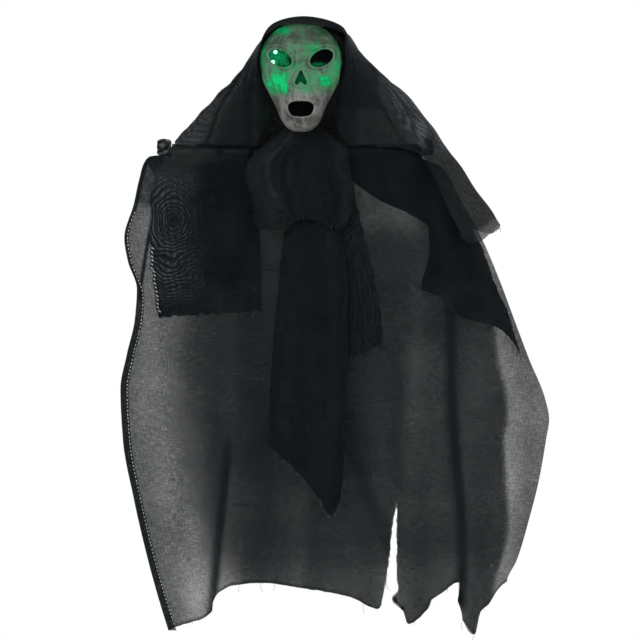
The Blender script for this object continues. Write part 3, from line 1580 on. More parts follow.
@dataclass
class Hood:
    """The cloth over the head, which falls to both shoulders and down the back.

    Attributes:
        size: Its width, depth and drop, which scale its sections.
        crown_z: How high it lies flat under the bracket.
        fold_right: The long fold on its right, as (depth below the ring, place across) rows.
        fold_left: The same on its left.
        sections: From the flap turned in at the face round to the back hem, each from left hem to right hem.
    """

    size: Colour = (0.400, 0.100, 0.320)
    crown_z: float = -0.0026
    columns: int = 170
    rows: int = 122
    screw_y: float = 0.0095
    fold_right: Rows = (
        (0.0277, 0.0802), (0.0729, 0.1109), (0.1007, 0.1120), (0.1255, 0.1225), (0.1809, 0.1575),
        (0.2232, 0.1853), (0.3107, 0.2421),
    )
    fold_left: Rows = (
        (0.030, -0.0700), (0.0686, -0.0861), (0.1211, -0.1182), (0.1707, -0.1371), (0.190, -0.1440),
    )
    sections: tuple[tuple[Colour, ...], ...] = (
        ((-0.150, -0.03, -0.520), (-0.112, -0.24, -0.394), (-0.154, -0.50, -0.234), (-0.150, -0.62, -0.125),
         (-0.102, -0.72, -0.016), (0.018, -0.74, 0.018), (0.146, -0.72, -0.026), (0.162, -0.62, -0.125),
         (0.160, -0.50, -0.234), (0.120, -0.24, -0.394), (0.152, -0.03, -0.520)),
        ((-0.160, -0.105, -0.552), (-0.150, -0.33, -0.394), (-0.158, -0.62, -0.234), (-0.153, -0.74, -0.125),
         (-0.105, -0.83, -0.010), (0.018, -0.88, 0.026), (0.150, -0.83, -0.020), (0.166, -0.74, -0.125),
         (0.165, -0.62, -0.234), (0.155, -0.33, -0.394), (0.165, -0.105, -0.552)),
        ((-0.245, -0.125, -0.552), (-0.210, -0.27, -0.394), (-0.185, -0.50, -0.234), (-0.160, -0.58, -0.125),
         (-0.105, -0.62, -0.020), (0.018, -0.64, 0.022), (0.153, -0.62, -0.030), (0.185, -0.58, -0.125),
         (0.205, -0.50, -0.225), (0.235, -0.28, -0.380), (0.285, -0.135, -0.553)),
        ((-0.365, -0.120, -0.552), (-0.290, -0.19, -0.380), (-0.210, -0.34, -0.215), (-0.165, -0.38, -0.120),
         (-0.105, -0.40, -0.030), (0.016, -0.40, 0.010), (0.156, -0.40, -0.045), (0.200, -0.38, -0.120),
         (0.250, -0.34, -0.220), (0.350, -0.24, -0.400), (0.455, -0.24, -0.620)),
        ((-0.440, -0.112, -0.548), (-0.340, -0.11, -0.385), (-0.222, -0.20, -0.218), (-0.170, -0.20, -0.120),
         (-0.105, -0.20, -0.030), (0.010, -0.20, -0.003), (0.158, -0.20, -0.036), (0.205, -0.20, -0.110),
         (0.300, -0.19, -0.250), (0.440, -0.24, -0.510), (0.600, -0.32, -0.985)),
        ((-0.460, -0.03, -0.530), (-0.350, -0.01, -0.383), (-0.225, 0.0, -0.224), (-0.156, 0.02, -0.088),
         (-0.100, 0.02, -0.024), (0.0, 0.02, -0.008), (0.155, 0.02, -0.031), (0.262, 0.0, -0.215),
         (0.380, -0.02, -0.315), (0.550, -0.14, -0.590), (0.7225, -0.20, -0.912)),
        ((-0.455, 0.15, -0.560), (-0.350, 0.15, -0.410), (-0.222, 0.16, -0.230), (-0.156, 0.17, -0.100),
         (-0.098, 0.18, -0.036), (0.0, 0.18, -0.009), (0.140, 0.18, -0.040), (0.250, 0.17, -0.215),
         (0.365, 0.16, -0.330), (0.520, 0.16, -0.600), (0.690, 0.12, -0.950)),
        ((-0.440, 0.26, -0.700), (-0.345, 0.26, -0.490), (-0.215, 0.30, -0.260), (-0.150, 0.34, -0.130),
         (-0.095, 0.36, -0.075), (0.0, 0.36, -0.022), (0.125, 0.36, -0.070), (0.220, 0.34, -0.220),
         (0.330, 0.31, -0.370), (0.465, 0.30, -0.640), (0.605, 0.30, -0.910)),
        ((-0.340, 0.32, -0.830), (-0.270, 0.38, -0.560), (-0.190, 0.49, -0.340), (-0.140, 0.56, -0.240),
         (-0.085, 0.61, -0.185), (0.0, 0.63, -0.165), (0.095, 0.61, -0.190), (0.160, 0.56, -0.270),
         (0.245, 0.49, -0.400), (0.370, 0.40, -0.590), (0.520, 0.33, -0.800)),
        ((-0.240, 0.32, -0.865), (-0.190, 0.38, -0.680), (-0.140, 0.46, -0.520), (-0.100, 0.51, -0.440),
         (-0.055, 0.54, -0.395), (0.0, 0.55, -0.375), (0.060, 0.54, -0.375), (0.120, 0.51, -0.400),
         (0.190, 0.46, -0.460), (0.290, 0.40, -0.560), (0.420, 0.34, -0.670)),
        ((-0.160, 0.33, -0.880), (-0.128, 0.35, -0.880), (-0.096, 0.36, -0.870), (-0.064, 0.37, -0.850),
         (-0.032, 0.38, -0.810), (0.0, 0.39, -0.760), (0.055, 0.40, -0.700), (0.120, 0.40, -0.655),
         (0.190, 0.38, -0.630), (0.260, 0.36, -0.620), (0.330, 0.34, -0.615)),
    )

    def grid(self) -> tuple[np.ndarray, np.ndarray]:
        """Places from the face to the back hem, and from the left hem to the right, as shares."""
        return np.linspace(0.0, 1.0, self.rows)[:, None], np.linspace(0.0, 1.0, self.columns)[None, :]


    def points(self) -> np.ndarray:
        """The hood's surface, from its face edge to its back hem."""
        back, down = self.grid()
        coarse = np.array(self.sections) * np.array(self.size)
        across = catmull(coarse.transpose(1, 0, 2), down[0]).transpose(1, 0, 2)
        whole = catmull(across, back[:, 0])
        x, y, z = whole[..., 0], whole[..., 1], whole[..., 2]
        inside = fall(np.abs(x), 0.040, 0.005) * fall(np.abs(y + 0.001), 0.0335, 0.004)
        whole[..., 2] = z + (self.crown_z - z) * inside
        return whole

    def wrinkled(self, points: np.ndarray) -> np.ndarray:
        """Adds folds that fan out from the head to the hems.

        Args:
            points: The plain surface.

        Returns:
            The folded one.
        """
        back, down = self.grid()
        side = np.abs(down - 0.5) * 2
        normal = np.cross(np.gradient(points, axis=0), np.gradient(points, axis=1))
        normal /= np.linalg.norm(normal, axis=2, keepdims=True) + 1e-12
        broad = np.sin(2 * math.pi * (back * 9.0 + 0.35 * np.sin(side * 5.0)))
        fan = broad + 0.6 * np.sin(2 * math.pi * (back * 15.5 - 0.3 * side))
        soft = waves(down * 0.9, back * 0.55, 41, 0.12)
        creased = 0.0009 * waves(down * 0.9, back * 0.5, 43, 0.035)
        away = rise(side, 0.30, 0.5) * rise(back, 0.10, 0.06)
        lift = away * (0.0012 * fan * (0.6 + 0.4 * soft) + creased)
        return points + normal * lift[..., None]

    def beyond(self, points: np.ndarray) -> tuple[np.ndarray, np.ndarray]:
        """How far each point lies right of the right long fold and of the left one, in metres."""
        x, drop = points[..., 0], -points[..., 2]
        return x - read(self.fold_right, drop), x - read(self.fold_left, drop)


    def before(self) -> np.ndarray:
        """1 on the front and 0 on the back."""
        return fall(self.grid()[0], 0.56, 0.04)

    def dense_at(self, points: np.ndarray) -> np.ndarray:
        """Extra layers where the cloth is folded, turned in round the face or gathered behind the head."""
        back = self.grid()[0]
        x, y, z = points[..., 0], points[..., 1], points[..., 2]
        right, left = self.beyond(points)
        gathered = fall(np.abs(x), 0.088, 0.02) * smooth(y / 0.01) * rise(z, -0.215, 0.03)
        lines = 1.1 * hump(right, -0.0012, 0.0022) * rise(x, 0.07, 0.01)
        lines = lines + 1.3 * hump(left, 0.0, 0.0020) * fall(x, -0.078, 0.008)
        inner = 0.45 * smooth(-right / 0.01) * rise(z, -0.130, 0.012) * rise(x, 0.03, 0.02)
        inner = inner + 0.35 * smooth(left / 0.02) * fall(x, -0.03, 0.02)
        crown = 1.1 * rise(z, -0.050, 0.025) * fall(back, 0.66, 0.08)
        return 0.55 * fall(back, 0.30, 0.10) + 1.8 * gathered + crown + (lines + inner) * self.before()

    def beat_at(self, points: np.ndarray) -> np.ndarray:
        """Where the weave beats with the layer behind it, along the right slope and low on the left."""
        z = points[..., 2]
        right, left = self.beyond(points)
        slope = rise(right, 0.006, 0.018) * rise(z, -0.195, 0.03) * fall(z, -0.060, 0.03)
        low = fall(left, -0.004, 0.010) * fall(z, -0.085, 0.03)
        return self.before() * (1.1 * slope + 0.45 * low)

    def pale_at(self, points: np.ndarray) -> np.ndarray:
        """Where bare selvage, worn edges and raised folds show light."""
        back, down = self.grid()
        x, z = points[..., 0], points[..., 2]
        right, left = self.beyond(points)
        corner = rise(down, 0.982, 0.01) * rise(back, 0.42, 0.04) * fall(back, 0.66, 0.04)
        folds = (
            0.075 * hump(right, 0.004, 0.0045) * rise(x, 0.07, 0.01)
            + 0.050 * rise(right, 0.002, 0.02) * fall(z, -0.120, 0.05) + 0.035 * smooth(-left / 0.02)
            + 0.060 * hump(x, -0.066, 0.0045) * fall(z, -0.085, 0.03)
            + 0.040 * rise(x, 0.050, 0.008) * smooth(-right / 0.006) * fall(z, -0.118, 0.012)
            + 0.035 * rise(x, 0.190, 0.02) * fall(z, -0.205, 0.02)
            + 0.20 * hump(x, 0.052, 0.008) * hump(z, -0.011, 0.0035)
        )
        crown = 0.055 * rise(z, -0.014, 0.008)
        return corner + (folds * (1.0 + 0.35 * waves(x, z, 48, 0.016)) + crown) * self.before()

    def round_screws(self, middles: np.ndarray) -> np.ndarray:
        """The faces that the bracket's screws pass through."""
        near = np.abs(middles[:, 2] - self.crown_z) < 0.004
        off_axis = np.minimum(*(np.hypot(middles[:, 0], middles[:, 1] - y * self.screw_y) for y in SIDES))
        return near & (off_axis < 0.0030)

    def build(self, finish: bpy.types.Material) -> bpy.types.Object:
        """Args:
            finish: Its gauze.

        Returns:
            The piece.
        """
        points = self.wrinkled(self.points())
        span = self.grid()[1]
        torn = ragged(np.linspace(0, 0.6, self.rows), 51, 0.0015)[:, None]
        points[..., 2] += torn * (np.exp(-span * 50) + np.exp((span - 1) * 50)) * 0.7
        self.right_hem = points[:, -1]
        marks = (self.dense_at(points), self.pale_at(points), self.beat_at(points))
        piece = make_sheet("hood_cloth", [Patch(points, arc_uv(points), *marks)], self.round_screws)
        present(piece, finish, "hood_cape", f"{sheet_area(piece):.3f} m2 of gauze")
        return piece


# Rigid pieces -----------------------------------------------------------------------------------


def pick_faces(piece: bpy.types.Object, wanted: Callable[[bpy.types.MeshPolygon], bool]) -> None:
    """Selects faces in code and opens edit mode on them."""
    choose(piece)
    bpy.ops.object.mode_set(mode="EDIT")
    bpy.ops.mesh.select_mode(type="FACE")
    bpy.ops.mesh.select_all(action="DESELECT")
    bpy.ops.object.mode_set(mode="OBJECT")
    for face in piece.data.polygons:
        face.select = wanted(face)
    bpy.ops.object.mode_set(mode="EDIT")


def leave_edit() -> None:
    """Goes back to object mode."""
    bpy.ops.object.mode_set(mode="OBJECT")


def extrude(move: Colour, scale: Colour = (1.0, 1.0, 1.0)) -> None:
    """Extrudes the selected faces along a move and scales what came out."""
    bpy.ops.mesh.extrude_region_move(TRANSFORM_OT_translate={"value": move})
    if scale != (1.0, 1.0, 1.0):
        bpy.ops.transform.resize(value=scale)


def newest(name: str) -> bpy.types.Object:
    """Names the object that an operator has just made, and returns it."""
    piece = bpy.context.object
    piece.name = name
    return piece


def cylinder(
    name: str, radius: float, depth: float, centre: Colour, axis: str, sides: int = 32
) -> bpy.types.Object:
    """A cylinder primitive with its place in its mesh.

    Args:
        name: The piece's name.
        radius: Its radius.
        depth: Its length.
        centre: Its middle.
        axis: "X", "Y" or "Z".
        sides: How many sides it has.

    Returns:
        The piece.
    """
    deselect()
    turn = {"X": (0.0, math.pi / 2, 0.0), "Y": (math.pi / 2, 0.0, 0.0), "Z": (0.0, 0.0, 0.0)}[axis]
    bpy.ops.mesh.primitive_cylinder_add(
        vertices=sides, radius=radius, depth=depth, location=centre, rotation=turn
    )
    piece = newest(name)
    settle(piece)
    return piece


def bevel(piece: bpy.types.Object, width: float, segments: int = 3, degrees: float = 40.0) -> None:
    """Rounds a piece's sharp edges with an applied modifier."""
    modifier = piece.modifiers.new("round", "BEVEL")
    modifier.width, modifier.segments = width, segments
    modifier.limit_method, modifier.angle_limit = "ANGLE", math.radians(degrees)
    apply_modifiers(piece)


def prism(name: str, outline: list[tuple[float, float]], low_y: float, high_y: float) -> bpy.types.Object:
    """A filled circle whose rim is moved to an outline of (x, z) points, extruded along Y."""
    deselect()
    bpy.ops.mesh.primitive_circle_add(vertices=len(outline), radius=1.0, fill_type="NGON")
    piece = newest(name)
    for vertex, (x, z) in zip(piece.data.vertices, outline):
        vertex.co = (x, low_y, z)
    pick_faces(piece, lambda face: True)
    extrude((0.0, high_y - low_y, 0.0))
    bpy.ops.mesh.select_all(action="SELECT")
    bpy.ops.mesh.normals_make_consistent(inside=False)
    leave_edit()
    return piece


def carve(piece: bpy.types.Object, tool: bpy.types.Object) -> None:
    """Cuts a tool out of a piece and throws the tool away."""
    modifier = piece.modifiers.new("carve", "BOOLEAN")
    modifier.operation, modifier.solver, modifier.object = "DIFFERENCE", "EXACT", tool
    apply_modifiers(piece)
    bpy.data.objects.remove(tool, do_unlink=True)


def closed_curve(points: list[tuple[float, float]], count: int) -> list[tuple[float, float]]:
    """A smooth closed outline through points."""
    ring = np.array(points[-1:] + points + points[:2])
    total = len(points)
    share = (np.arange(count) / count * total + 1.0) / (len(ring) - 1)
    return [(float(x), float(z)) for x, z in catmull(ring, share)]


@dataclass
class Mask:
    """A thin moulded face of a skull-like kind: sockets, nose hole, open mouth, brows and cracks.

    Attributes:
        width: From side to side.
        height: From top to chin.
        depth: How far it stands before its rim.
        top_z: Its top.
        plate_y: Its rim.
        collar: How far the rim turns back over the plate.
        wall: The shell's thickness.
        outline: Half of its outline, top to chin, as shares of half its width and of its height.
        middle_bumps: The relief on the middle, as shares: across, down, both radii and height.
        side_bumps: The same on both sides.
        socket: Across, down, half width and half height of a socket, as shares.
        nose_ring: The same of the oval that the nose hole lies in.
        mouth_ring: The same of the oval that the mouth lies in.
        nose: Half of the nose hole's outline, as shares.
        mouth: Half of the mouth's outline, as shares.
        cracks: Fine lines in the paint, as (x, z) routes.
    """

    width: float = 0.118
    height: float = 0.157
    depth: float = 0.040
    top_z: float = 0.0
    plate_y: float = -0.050
    collar: float = 0.0021
    wall: float = 0.002
    tilt: float = 0.28
    outline: Rows = (
        (0.0, 0.0), (0.30, 0.012), (0.58, 0.055), (0.80, 0.13), (0.95, 0.23), (1.0, 0.34), (0.965, 0.44),
        (0.93, 0.52), (0.82, 0.62), (0.68, 0.72), (0.58, 0.80), (0.50, 0.88), (0.36, 0.955), (0.18, 0.995),
        (0.0, 1.0),
    )
    middle_bumps: tuple[tuple[float, ...], ...] = (
        (0.0, 0.20, 0.60, 0.12, 0.05), (0.0, 0.45, 0.20, 0.08, 0.16), (0.0, 0.72, 0.45, 0.12, 0.20),
        (0.0, 0.94, 0.30, 0.06, 0.10),
    )
    side_bumps: tuple[tuple[float, ...], ...] = (
        (0.51, 0.34, 0.36, 0.11, -0.26), (0.48, 0.20, 0.40, 0.06, 0.12), (0.62, 0.49, 0.30, 0.07, 0.14),
        (0.62, 0.68, 0.26, 0.10, -0.14),
    )
    socket: tuple[float, float, float, float] = (0.51, 0.33, 0.285, 0.078)
    nose_ring: tuple[float, float, float, float] = (0.0, 0.525, 0.15, 0.060)
    mouth_ring: tuple[float, float, float, float] = (0.0, 0.797, 0.32, 0.072)
    nose: Rows = ((0.025, 0.452), (0.085, 0.50), (0.15, 0.555), (0.09, 0.578), (0.03, 0.556))
    mouth: Rows = ((0.05, 0.727), (0.20, 0.732), (0.31, 0.76), (0.30, 0.81), (0.22, 0.855), (0.05, 0.867))
    cracks: tuple[Rows, ...] = (
        ((-0.004, -0.006), (-0.008, -0.016), (-0.005, -0.024), (-0.011, -0.033), (-0.009, -0.039)),
        ((-0.008, -0.016), (-0.016, -0.020), (-0.021, -0.027)),
        ((0.050, -0.026), (0.044, -0.024), (0.038, -0.027), (0.031, -0.024)),
        ((0.013, -0.058), (0.006, -0.055), (-0.001, -0.058), (-0.008, -0.055), (-0.014, -0.057)),
        ((-0.040, -0.097), (-0.036, -0.103), (-0.037, -0.111), (-0.032, -0.118)),
        ((0.047, -0.088), (0.041, -0.094), (0.040, -0.101)),
    )

    def level(self, share: float) -> float:
        """The height at a share of the way down the face."""
        return self.top_z - share * self.height


    def across(self, share: float) -> float:
        """A share of half its width, in metres."""
        return share * self.width / 2


    def centre_z(self) -> float:
        """The height of the outline's middle."""
        return self.top_z - self.height * 0.46

    def rim(self, turn: np.ndarray) -> np.ndarray:
        """Points on the outline.

        Args:
            turn: Places round it, from 0 at the top clockwise to 1.

        Returns:
            Across and up.
        """
        half = np.array([(self.width / 2 * a, self.top_z - self.height * d) for a, d in self.outline])
        folded = np.where(turn <= 0.5, turn, 1.0 - turn) * 2
        point = catmull(half, folded)
        point[:, 0] *= np.where(turn <= 0.5, 1.0, -1.0)
        return point

    def opening(self, x: np.ndarray, z: np.ndarray, ring: tuple[float, ...], side: float = 0.0) -> np.ndarray:
        """How far points are from an opening's middle, 1 on its rim.

        Args:
            x: Across.
            z: Up.
            ring: The opening's place and size, as shares.
            side: -1 or 1 for an opening beside the middle, which is tilted, and 0 for one on it.

        Returns:
            The distances.
        """
        place, down, wide, tall = ring
        dx = side * x - self.across(place) if side else x
        dz = z - self.level(down) - (self.tilt * dx if side else 0.0)
        return np.hypot(dx / self.across(wide), dz / (tall * self.height))

    def crack_at(self, x: np.ndarray, z: np.ndarray) -> np.ndarray:
        """How near a point is to a crack: 1 on it, 0 from 1.1 mm away."""
        nearest = np.full(x.shape, 1.0)
        wander = 0.0006 * waves(x, z, 71, 0.004)
        for route in self.cracks:
            for (x0, z0), (x1, z1) in zip(route, route[1:]):
                run, climb = x1 - x0, z1 - z0
                share = ((x - x0) * run + (z - z0) * climb) / (run * run + climb * climb)
                share = np.clip(share, 0.0, 1.0)
                off_x, off_z = x - x0 - share * run + wander, z - z0 - share * climb + wander
                nearest = np.minimum(nearest, np.hypot(off_x, off_z))
        return 1.0 - smooth(nearest / 0.0011)

    def relief(self, x: np.ndarray, z: np.ndarray, ring: np.ndarray) -> np.ndarray:
        """How far the smooth face stands before its rim.

        Args:
            x: Across.
            z: Up.
            ring: 0 at the middle, 1 at the rim.

        Returns:
            The depth, in metres.
        """
        stand = self.depth * np.maximum(1.0 - ring**2.6, 0.0) ** 0.55
        bumps = [(row, 1.0) for row in self.middle_bumps]
        bumps += [(row, side) for side in SIDES for row in self.side_bumps]
        for (place, down, wide, tall, high), side in bumps:
            dx = (x - side * place * self.width / 2) / self.across(wide)
            dz = (self.top_z - z - down * self.height) / (tall * self.height)
            stand = stand + high * self.depth * np.exp(-(dx * dx + dz * dz) * 1.4) * (1.0 - ring**6)
        return stand

    def ring_at(self, x: np.ndarray, z: np.ndarray) -> np.ndarray:
        """How far out a point lies: 0 at the middle, 1 on the rim."""
        rim = self.rim(np.linspace(0.0, 1.0, 721)[:-1])
        rim_x, rim_z = rim[:, 0], rim[:, 1] - self.centre_z()
        angle, reach = np.arctan2(rim_x, rim_z), np.hypot(rim_x, rim_z)
        order, up = np.argsort(angle), z - self.centre_z()
        return np.hypot(x, up) / np.interp(np.arctan2(x, up), angle[order], reach[order], period=2 * math.pi)

    def cheek_fold(self, x: np.ndarray, z: np.ndarray, side: float) -> np.ndarray:
        """How far points are from the fold beside the mouth, in metres."""
        return side * x - 0.011 - 0.55 * (self.level(0.56) - z)


    def teeth(self, x: np.ndarray, z: np.ndarray, wide: float) -> np.ndarray:
        """The grooves between the teeth, which lie in a belt round the mouth, from 0 to 1."""
        grooves = 1.0 - np.abs(np.sin(math.pi * x / 0.0062)) ** 0.5
        return grooves * hump(self.opening(x, z, self.mouth_ring), 1.55, wide) * fall(np.abs(x), 0.021, 0.006)


    def brow_lines(self, x: np.ndarray, z: np.ndarray, wide: float) -> list[np.ndarray]:
        """The wavy lines over the brows, each from 0 to 1."""
        lines = []
        for k, height in enumerate((-0.014, -0.0215, -0.0285)):
            away = z - height - 0.0022 * np.cos(x / 0.011 + k) + 0.10 * np.abs(x)
            lines.append(hump(away, 0.0, wide) * fall(np.abs(x), 0.034, 0.014))
        return lines


    def fine(self, x: np.ndarray, z: np.ndarray, ring: np.ndarray) -> np.ndarray:
        """The fine relief on the front: rims, brows, creases, tooth grooves and cracks, in metres."""
        fine = 0.0013 * hump(self.opening(x, z, self.mouth_ring), 1.16, 0.11)
        fine += 0.0009 * hump(self.opening(x, z, self.nose_ring), 1.22, 0.14)
        above = rise(z, self.level(0.30), 0.012)
        for side in SIDES:
            far = self.opening(x, z, self.socket, side)
            fine += 0.0011 * hump(far, 1.14, 0.10) + 0.0021 * above * hump(far, 1.42, 0.22)
            fine -= 0.0012 * hump(far, 1.75, 0.16) * (1 - above)
            fine -= 0.0011 * hump(self.cheek_fold(x, z, side), 0.0, 0.0024) * hump(z, -0.100, 0.016)
        fine -= 0.0008 * self.teeth(x, z, 0.24) + 0.0006 * sum(self.brow_lines(x, z, 0.0014))
        fine -= 0.0006 * self.crack_at(x, z)
        fine += 0.00035 * waves(x, z, 61, 0.011) + 0.00016 * waves(x, z, 62, 0.0042)
        return fine * (1.0 - np.minimum(ring, 1.0) ** 6)

    def hollow_at(self, x: np.ndarray, z: np.ndarray) -> np.ndarray:
        """Where dark paint has run into the hollows."""
        dark = [0.85 * self.crack_at(x, z), 0.8 * self.teeth(x, z, 0.22)]
        dark += [0.55 * hump(self.opening(x, z, self.nose_ring), 1.42, 0.10)]
        dark += [0.35 * line for line in self.brow_lines(x, z, 0.0011)]
        for side in SIDES:
            far = self.opening(x, z, self.socket, side)
            cheek = np.hypot((side * x - 0.037) / 0.013, (z + 0.112) / 0.019)
            dark += [0.75 * hump(far, 1.27, 0.07), 0.45 * (1.0 - smooth(cheek))]
            dark += [0.55 * hump(far, 1.72, 0.13) * rise(z, -0.045, 0.02)]
            dark += [0.60 * hump(self.cheek_fold(x, z, side), 0.0, 0.0016) * hump(z, -0.100, 0.013)]
        return np.maximum.reduce(dark)

    def edge_at(self, x: np.ndarray, z: np.ndarray) -> np.ndarray:
        """Where the paint is rubbed off round the openings."""
        rubbed = [0.8 * hump(self.opening(x, z, self.mouth_ring), 1.06, 0.09)]
        rubbed += [0.6 * hump(self.opening(x, z, self.nose_ring), 1.12, 0.10)]
        rubbed += [0.6 * hump(self.opening(x, z, self.socket, side), 1.08, 0.07) for side in SIDES]
        return np.maximum.reduce(rubbed) * (0.75 + 0.25 * waves(x, z, 66, 0.008))


    def socket_loop(self, side: float) -> list[tuple[float, float]]:
        """A socket's outline as (x, z) points."""
        place, down, wide, tall = self.socket
        loop = []
        for k in range(LOOP_POINTS):
            angle = 2 * math.pi * k / LOOP_POINTS
            dx, dz = self.across(wide) * math.cos(angle), tall * self.height * math.sin(angle)
            loop.append((side * (self.across(place) + dx), self.level(down) + dz + self.tilt * dx))
        return loop


    def hole_loop(self, half: Rows) -> list[tuple[float, float]]:
        """The outline of a hole on the middle as (x, z) points, from its right half."""
        right = [(self.across(share), self.level(down)) for share, down in half]
        return closed_curve(right + [(-x, z) for x, z in reversed(right)], LOOP_POINTS)

    def pressed(self) -> bpy.types.Object:
        """Presses a grid into the face, turns its rim back and gives it a wall."""
        deselect()
        bpy.ops.mesh.primitive_grid_add(x_subdivisions=150, y_subdivisions=170, size=2.0)
        piece = newest("mask_face")
        flat = np.array([v.co[:2] for v in piece.data.vertices])
        a, b = flat[:, 0], flat[:, 1]
        disc_x, disc_z = a * np.sqrt(1 - b * b / 2), b * np.sqrt(1 - a * a / 2)
        ring = np.minimum(np.hypot(disc_x, disc_z), 1.0)
        rim = self.rim((np.arctan2(disc_x, disc_z) / (2 * math.pi)) % 1.0)
        x, z = rim[:, 0] * ring, self.centre_z() + (rim[:, 1] - self.centre_z()) * ring
        place_points(piece.data, np.stack([x, self.plate_y - self.relief(x, z, ring), z], axis=1))
        choose(piece)
        bpy.ops.object.mode_set(mode="EDIT")
        bpy.ops.mesh.select_all(action="SELECT")
        bpy.ops.mesh.normals_make_consistent(inside=False)
        bpy.ops.mesh.select_mode(type="EDGE")
        bpy.ops.mesh.select_all(action="DESELECT")
        bpy.ops.mesh.select_non_manifold()
        extrude((0.0, self.collar, 0.0))
        leave_edit()
        middle = min(piece.data.polygons, key=lambda face: face.center.y)
        if middle.normal.y > 0:
            piece.data.flip_normals()
        wall = piece.modifiers.new("wall", "SOLIDIFY")
        wall.thickness, wall.offset, wall.use_even_offset = self.wall, -1.0, True
        apply_modifiers(piece)
        return piece


    def build(self, finish: bpy.types.Material) -> bpy.types.Object:
        """Presses the face, cuts its openings and adds its fine relief and its marks.

        Args:
            finish: Its painted plastic.

        Returns:
            The piece.
        """
        piece = self.pressed()
        near, far = self.plate_y - 0.09, self.plate_y - 0.004
        for loop in (*map(self.socket_loop, SIDES), *map(self.hole_loop, (self.nose, self.mouth))):
            carve(piece, prism("hole_tool", loop, near, far))
        self.emboss(piece)
        self.mark(piece)
        soften(piece, 50.0)
        return present(piece, finish, "mask_shell", f"{len(piece.data.polygons)} faces")

    def emboss(self, piece: bpy.types.Object) -> None:
        """Moves the front's points by the fine relief and leaves the back smooth."""
        places = np.array([v.co for v in piece.data.vertices])
        x, z = places[:, 0], places[:, 2]
        ring = self.ring_at(x, z)
        behind = np.abs(places[:, 1] - (self.plate_y - self.relief(x, z, np.minimum(ring, 1.0))))
        places[:, 1] -= self.fine(x, z, ring) * (1.0 - rise(behind, 0.0004, 0.0009))
        place_points(piece.data, places)
        piece.data.update()

    def mark(self, piece: bpy.types.Object) -> None:
        """Stores where the hollows and the rubbed edges are."""
        places = np.array([v.co for v in piece.data.vertices])
        x, z = places[:, 0], places[:, 2]
        for name, values in (("hollow", self.hollow_at(x, z)), ("edge", self.edge_at(x, z))):
            set_mark(piece.data, name, np.clip(values, 0.0, 1.0))


@dataclass
class Screws:
    """Pan-head screws with a cross recess and a ridged shank.

    Attributes:
        places: Each screw's node, the way that its head faces and its shank's length.
    """

    places: tuple[tuple[str, Colour, float], ...] = (
        ("bracket_screw_front", (0, 0, 1), 0.009), ("bracket_screw_rear", (0, 0, 1), 0.009),
        ("dome_screw_left", (0, -1, 0), 0.009), ("dome_screw_right", (0, -1, 0), 0.009),
        ("case_screw_upper", (0, 1, 0), 0.005), ("case_screw_lower", (0, 1, 0), 0.005),
        ("post_screw", (0, 1, 0), 0.003), ("tee_screw", (0, 1, 0), 0.005),
    )
    head_r: float = 0.0028
    head_h: float = 0.0018
    shank_r: float = 0.0015
    ridges: int = 17
    groove: float = 0.84
    cross: tuple[float, float] = (0.0007, 0.0030)

    def master(self, length: float) -> bpy.types.Object:
        """Models one screw with its head's underside at the origin and its head up.

        Args:
            length: Its shank's length.

        Returns:
            The screw.
        """
        rim_h = self.head_h * 0.45
        screw = cylinder("screw_master", self.head_r, rim_h, (0.0, 0.0, rim_h / 2), "Z", 28)
        pick_faces(screw, lambda face: face.normal.z > 0.9)
        for share, scale in ((0.5, 0.93), (0.3, 0.86), (0.2, 0.72)):
            extrude((0.0, 0.0, self.head_h * 0.55 * share), (scale, scale, 1.0))
        leave_edit()
        pick_faces(screw, lambda face: face.normal.z < -0.9)
        bpy.ops.mesh.inset(thickness=self.head_r * (1 - self.shank_r / self.head_r), depth=0.0)
        step = length / (self.ridges + 1)
        for k in range(self.ridges):
            scale = self.groove if k % 2 or k == 0 else 1 / self.groove
            extrude((0.0, 0.0, -step), (scale, scale, 1.0))
        extrude((0.0, 0.0, -step), (0.55, 0.55, 1.0))
        leave_edit()
        for wide, deep in (self.cross, self.cross[::-1]):
            deselect()
            bpy.ops.mesh.primitive_cube_add(size=1.0, location=(0.0, 0.0, self.head_h))
            tool = newest("cross_tool")
            tool.scale = (wide, deep, 0.0019)
            settle(tool)
            carve(screw, tool)
        soften(screw, 35.0)
        return screw

    def build(self, finish: bpy.types.Material) -> list[bpy.types.Object]:
        """Copies the screws to their places.

        Args:
            finish: Their steel.

        Returns:
            The screws.
        """
        masters = {length: self.master(length) for length in sorted({row[2] for row in self.places})}
        made = []
        for node, way, length in self.places:
            low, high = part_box(node)
            seat = (low + high) / 2
            tip = high if sum(way) > 0 else low
            k = [abs(part) for part in way].index(1)
            seat[k] = tip[k] - way[k] * self.head_h
            turn = Vector((0.0, 0.0, 1.0)).rotation_difference(Vector(way)).to_matrix().to_4x4()
            screw = copied(masters[length], f"{node}_fine", Matrix.Translation(seat) @ turn)
            made.append(present(screw, finish, node, "screw"))
        for screw in masters.values():
            bpy.data.objects.remove(screw, do_unlink=True)
        return made


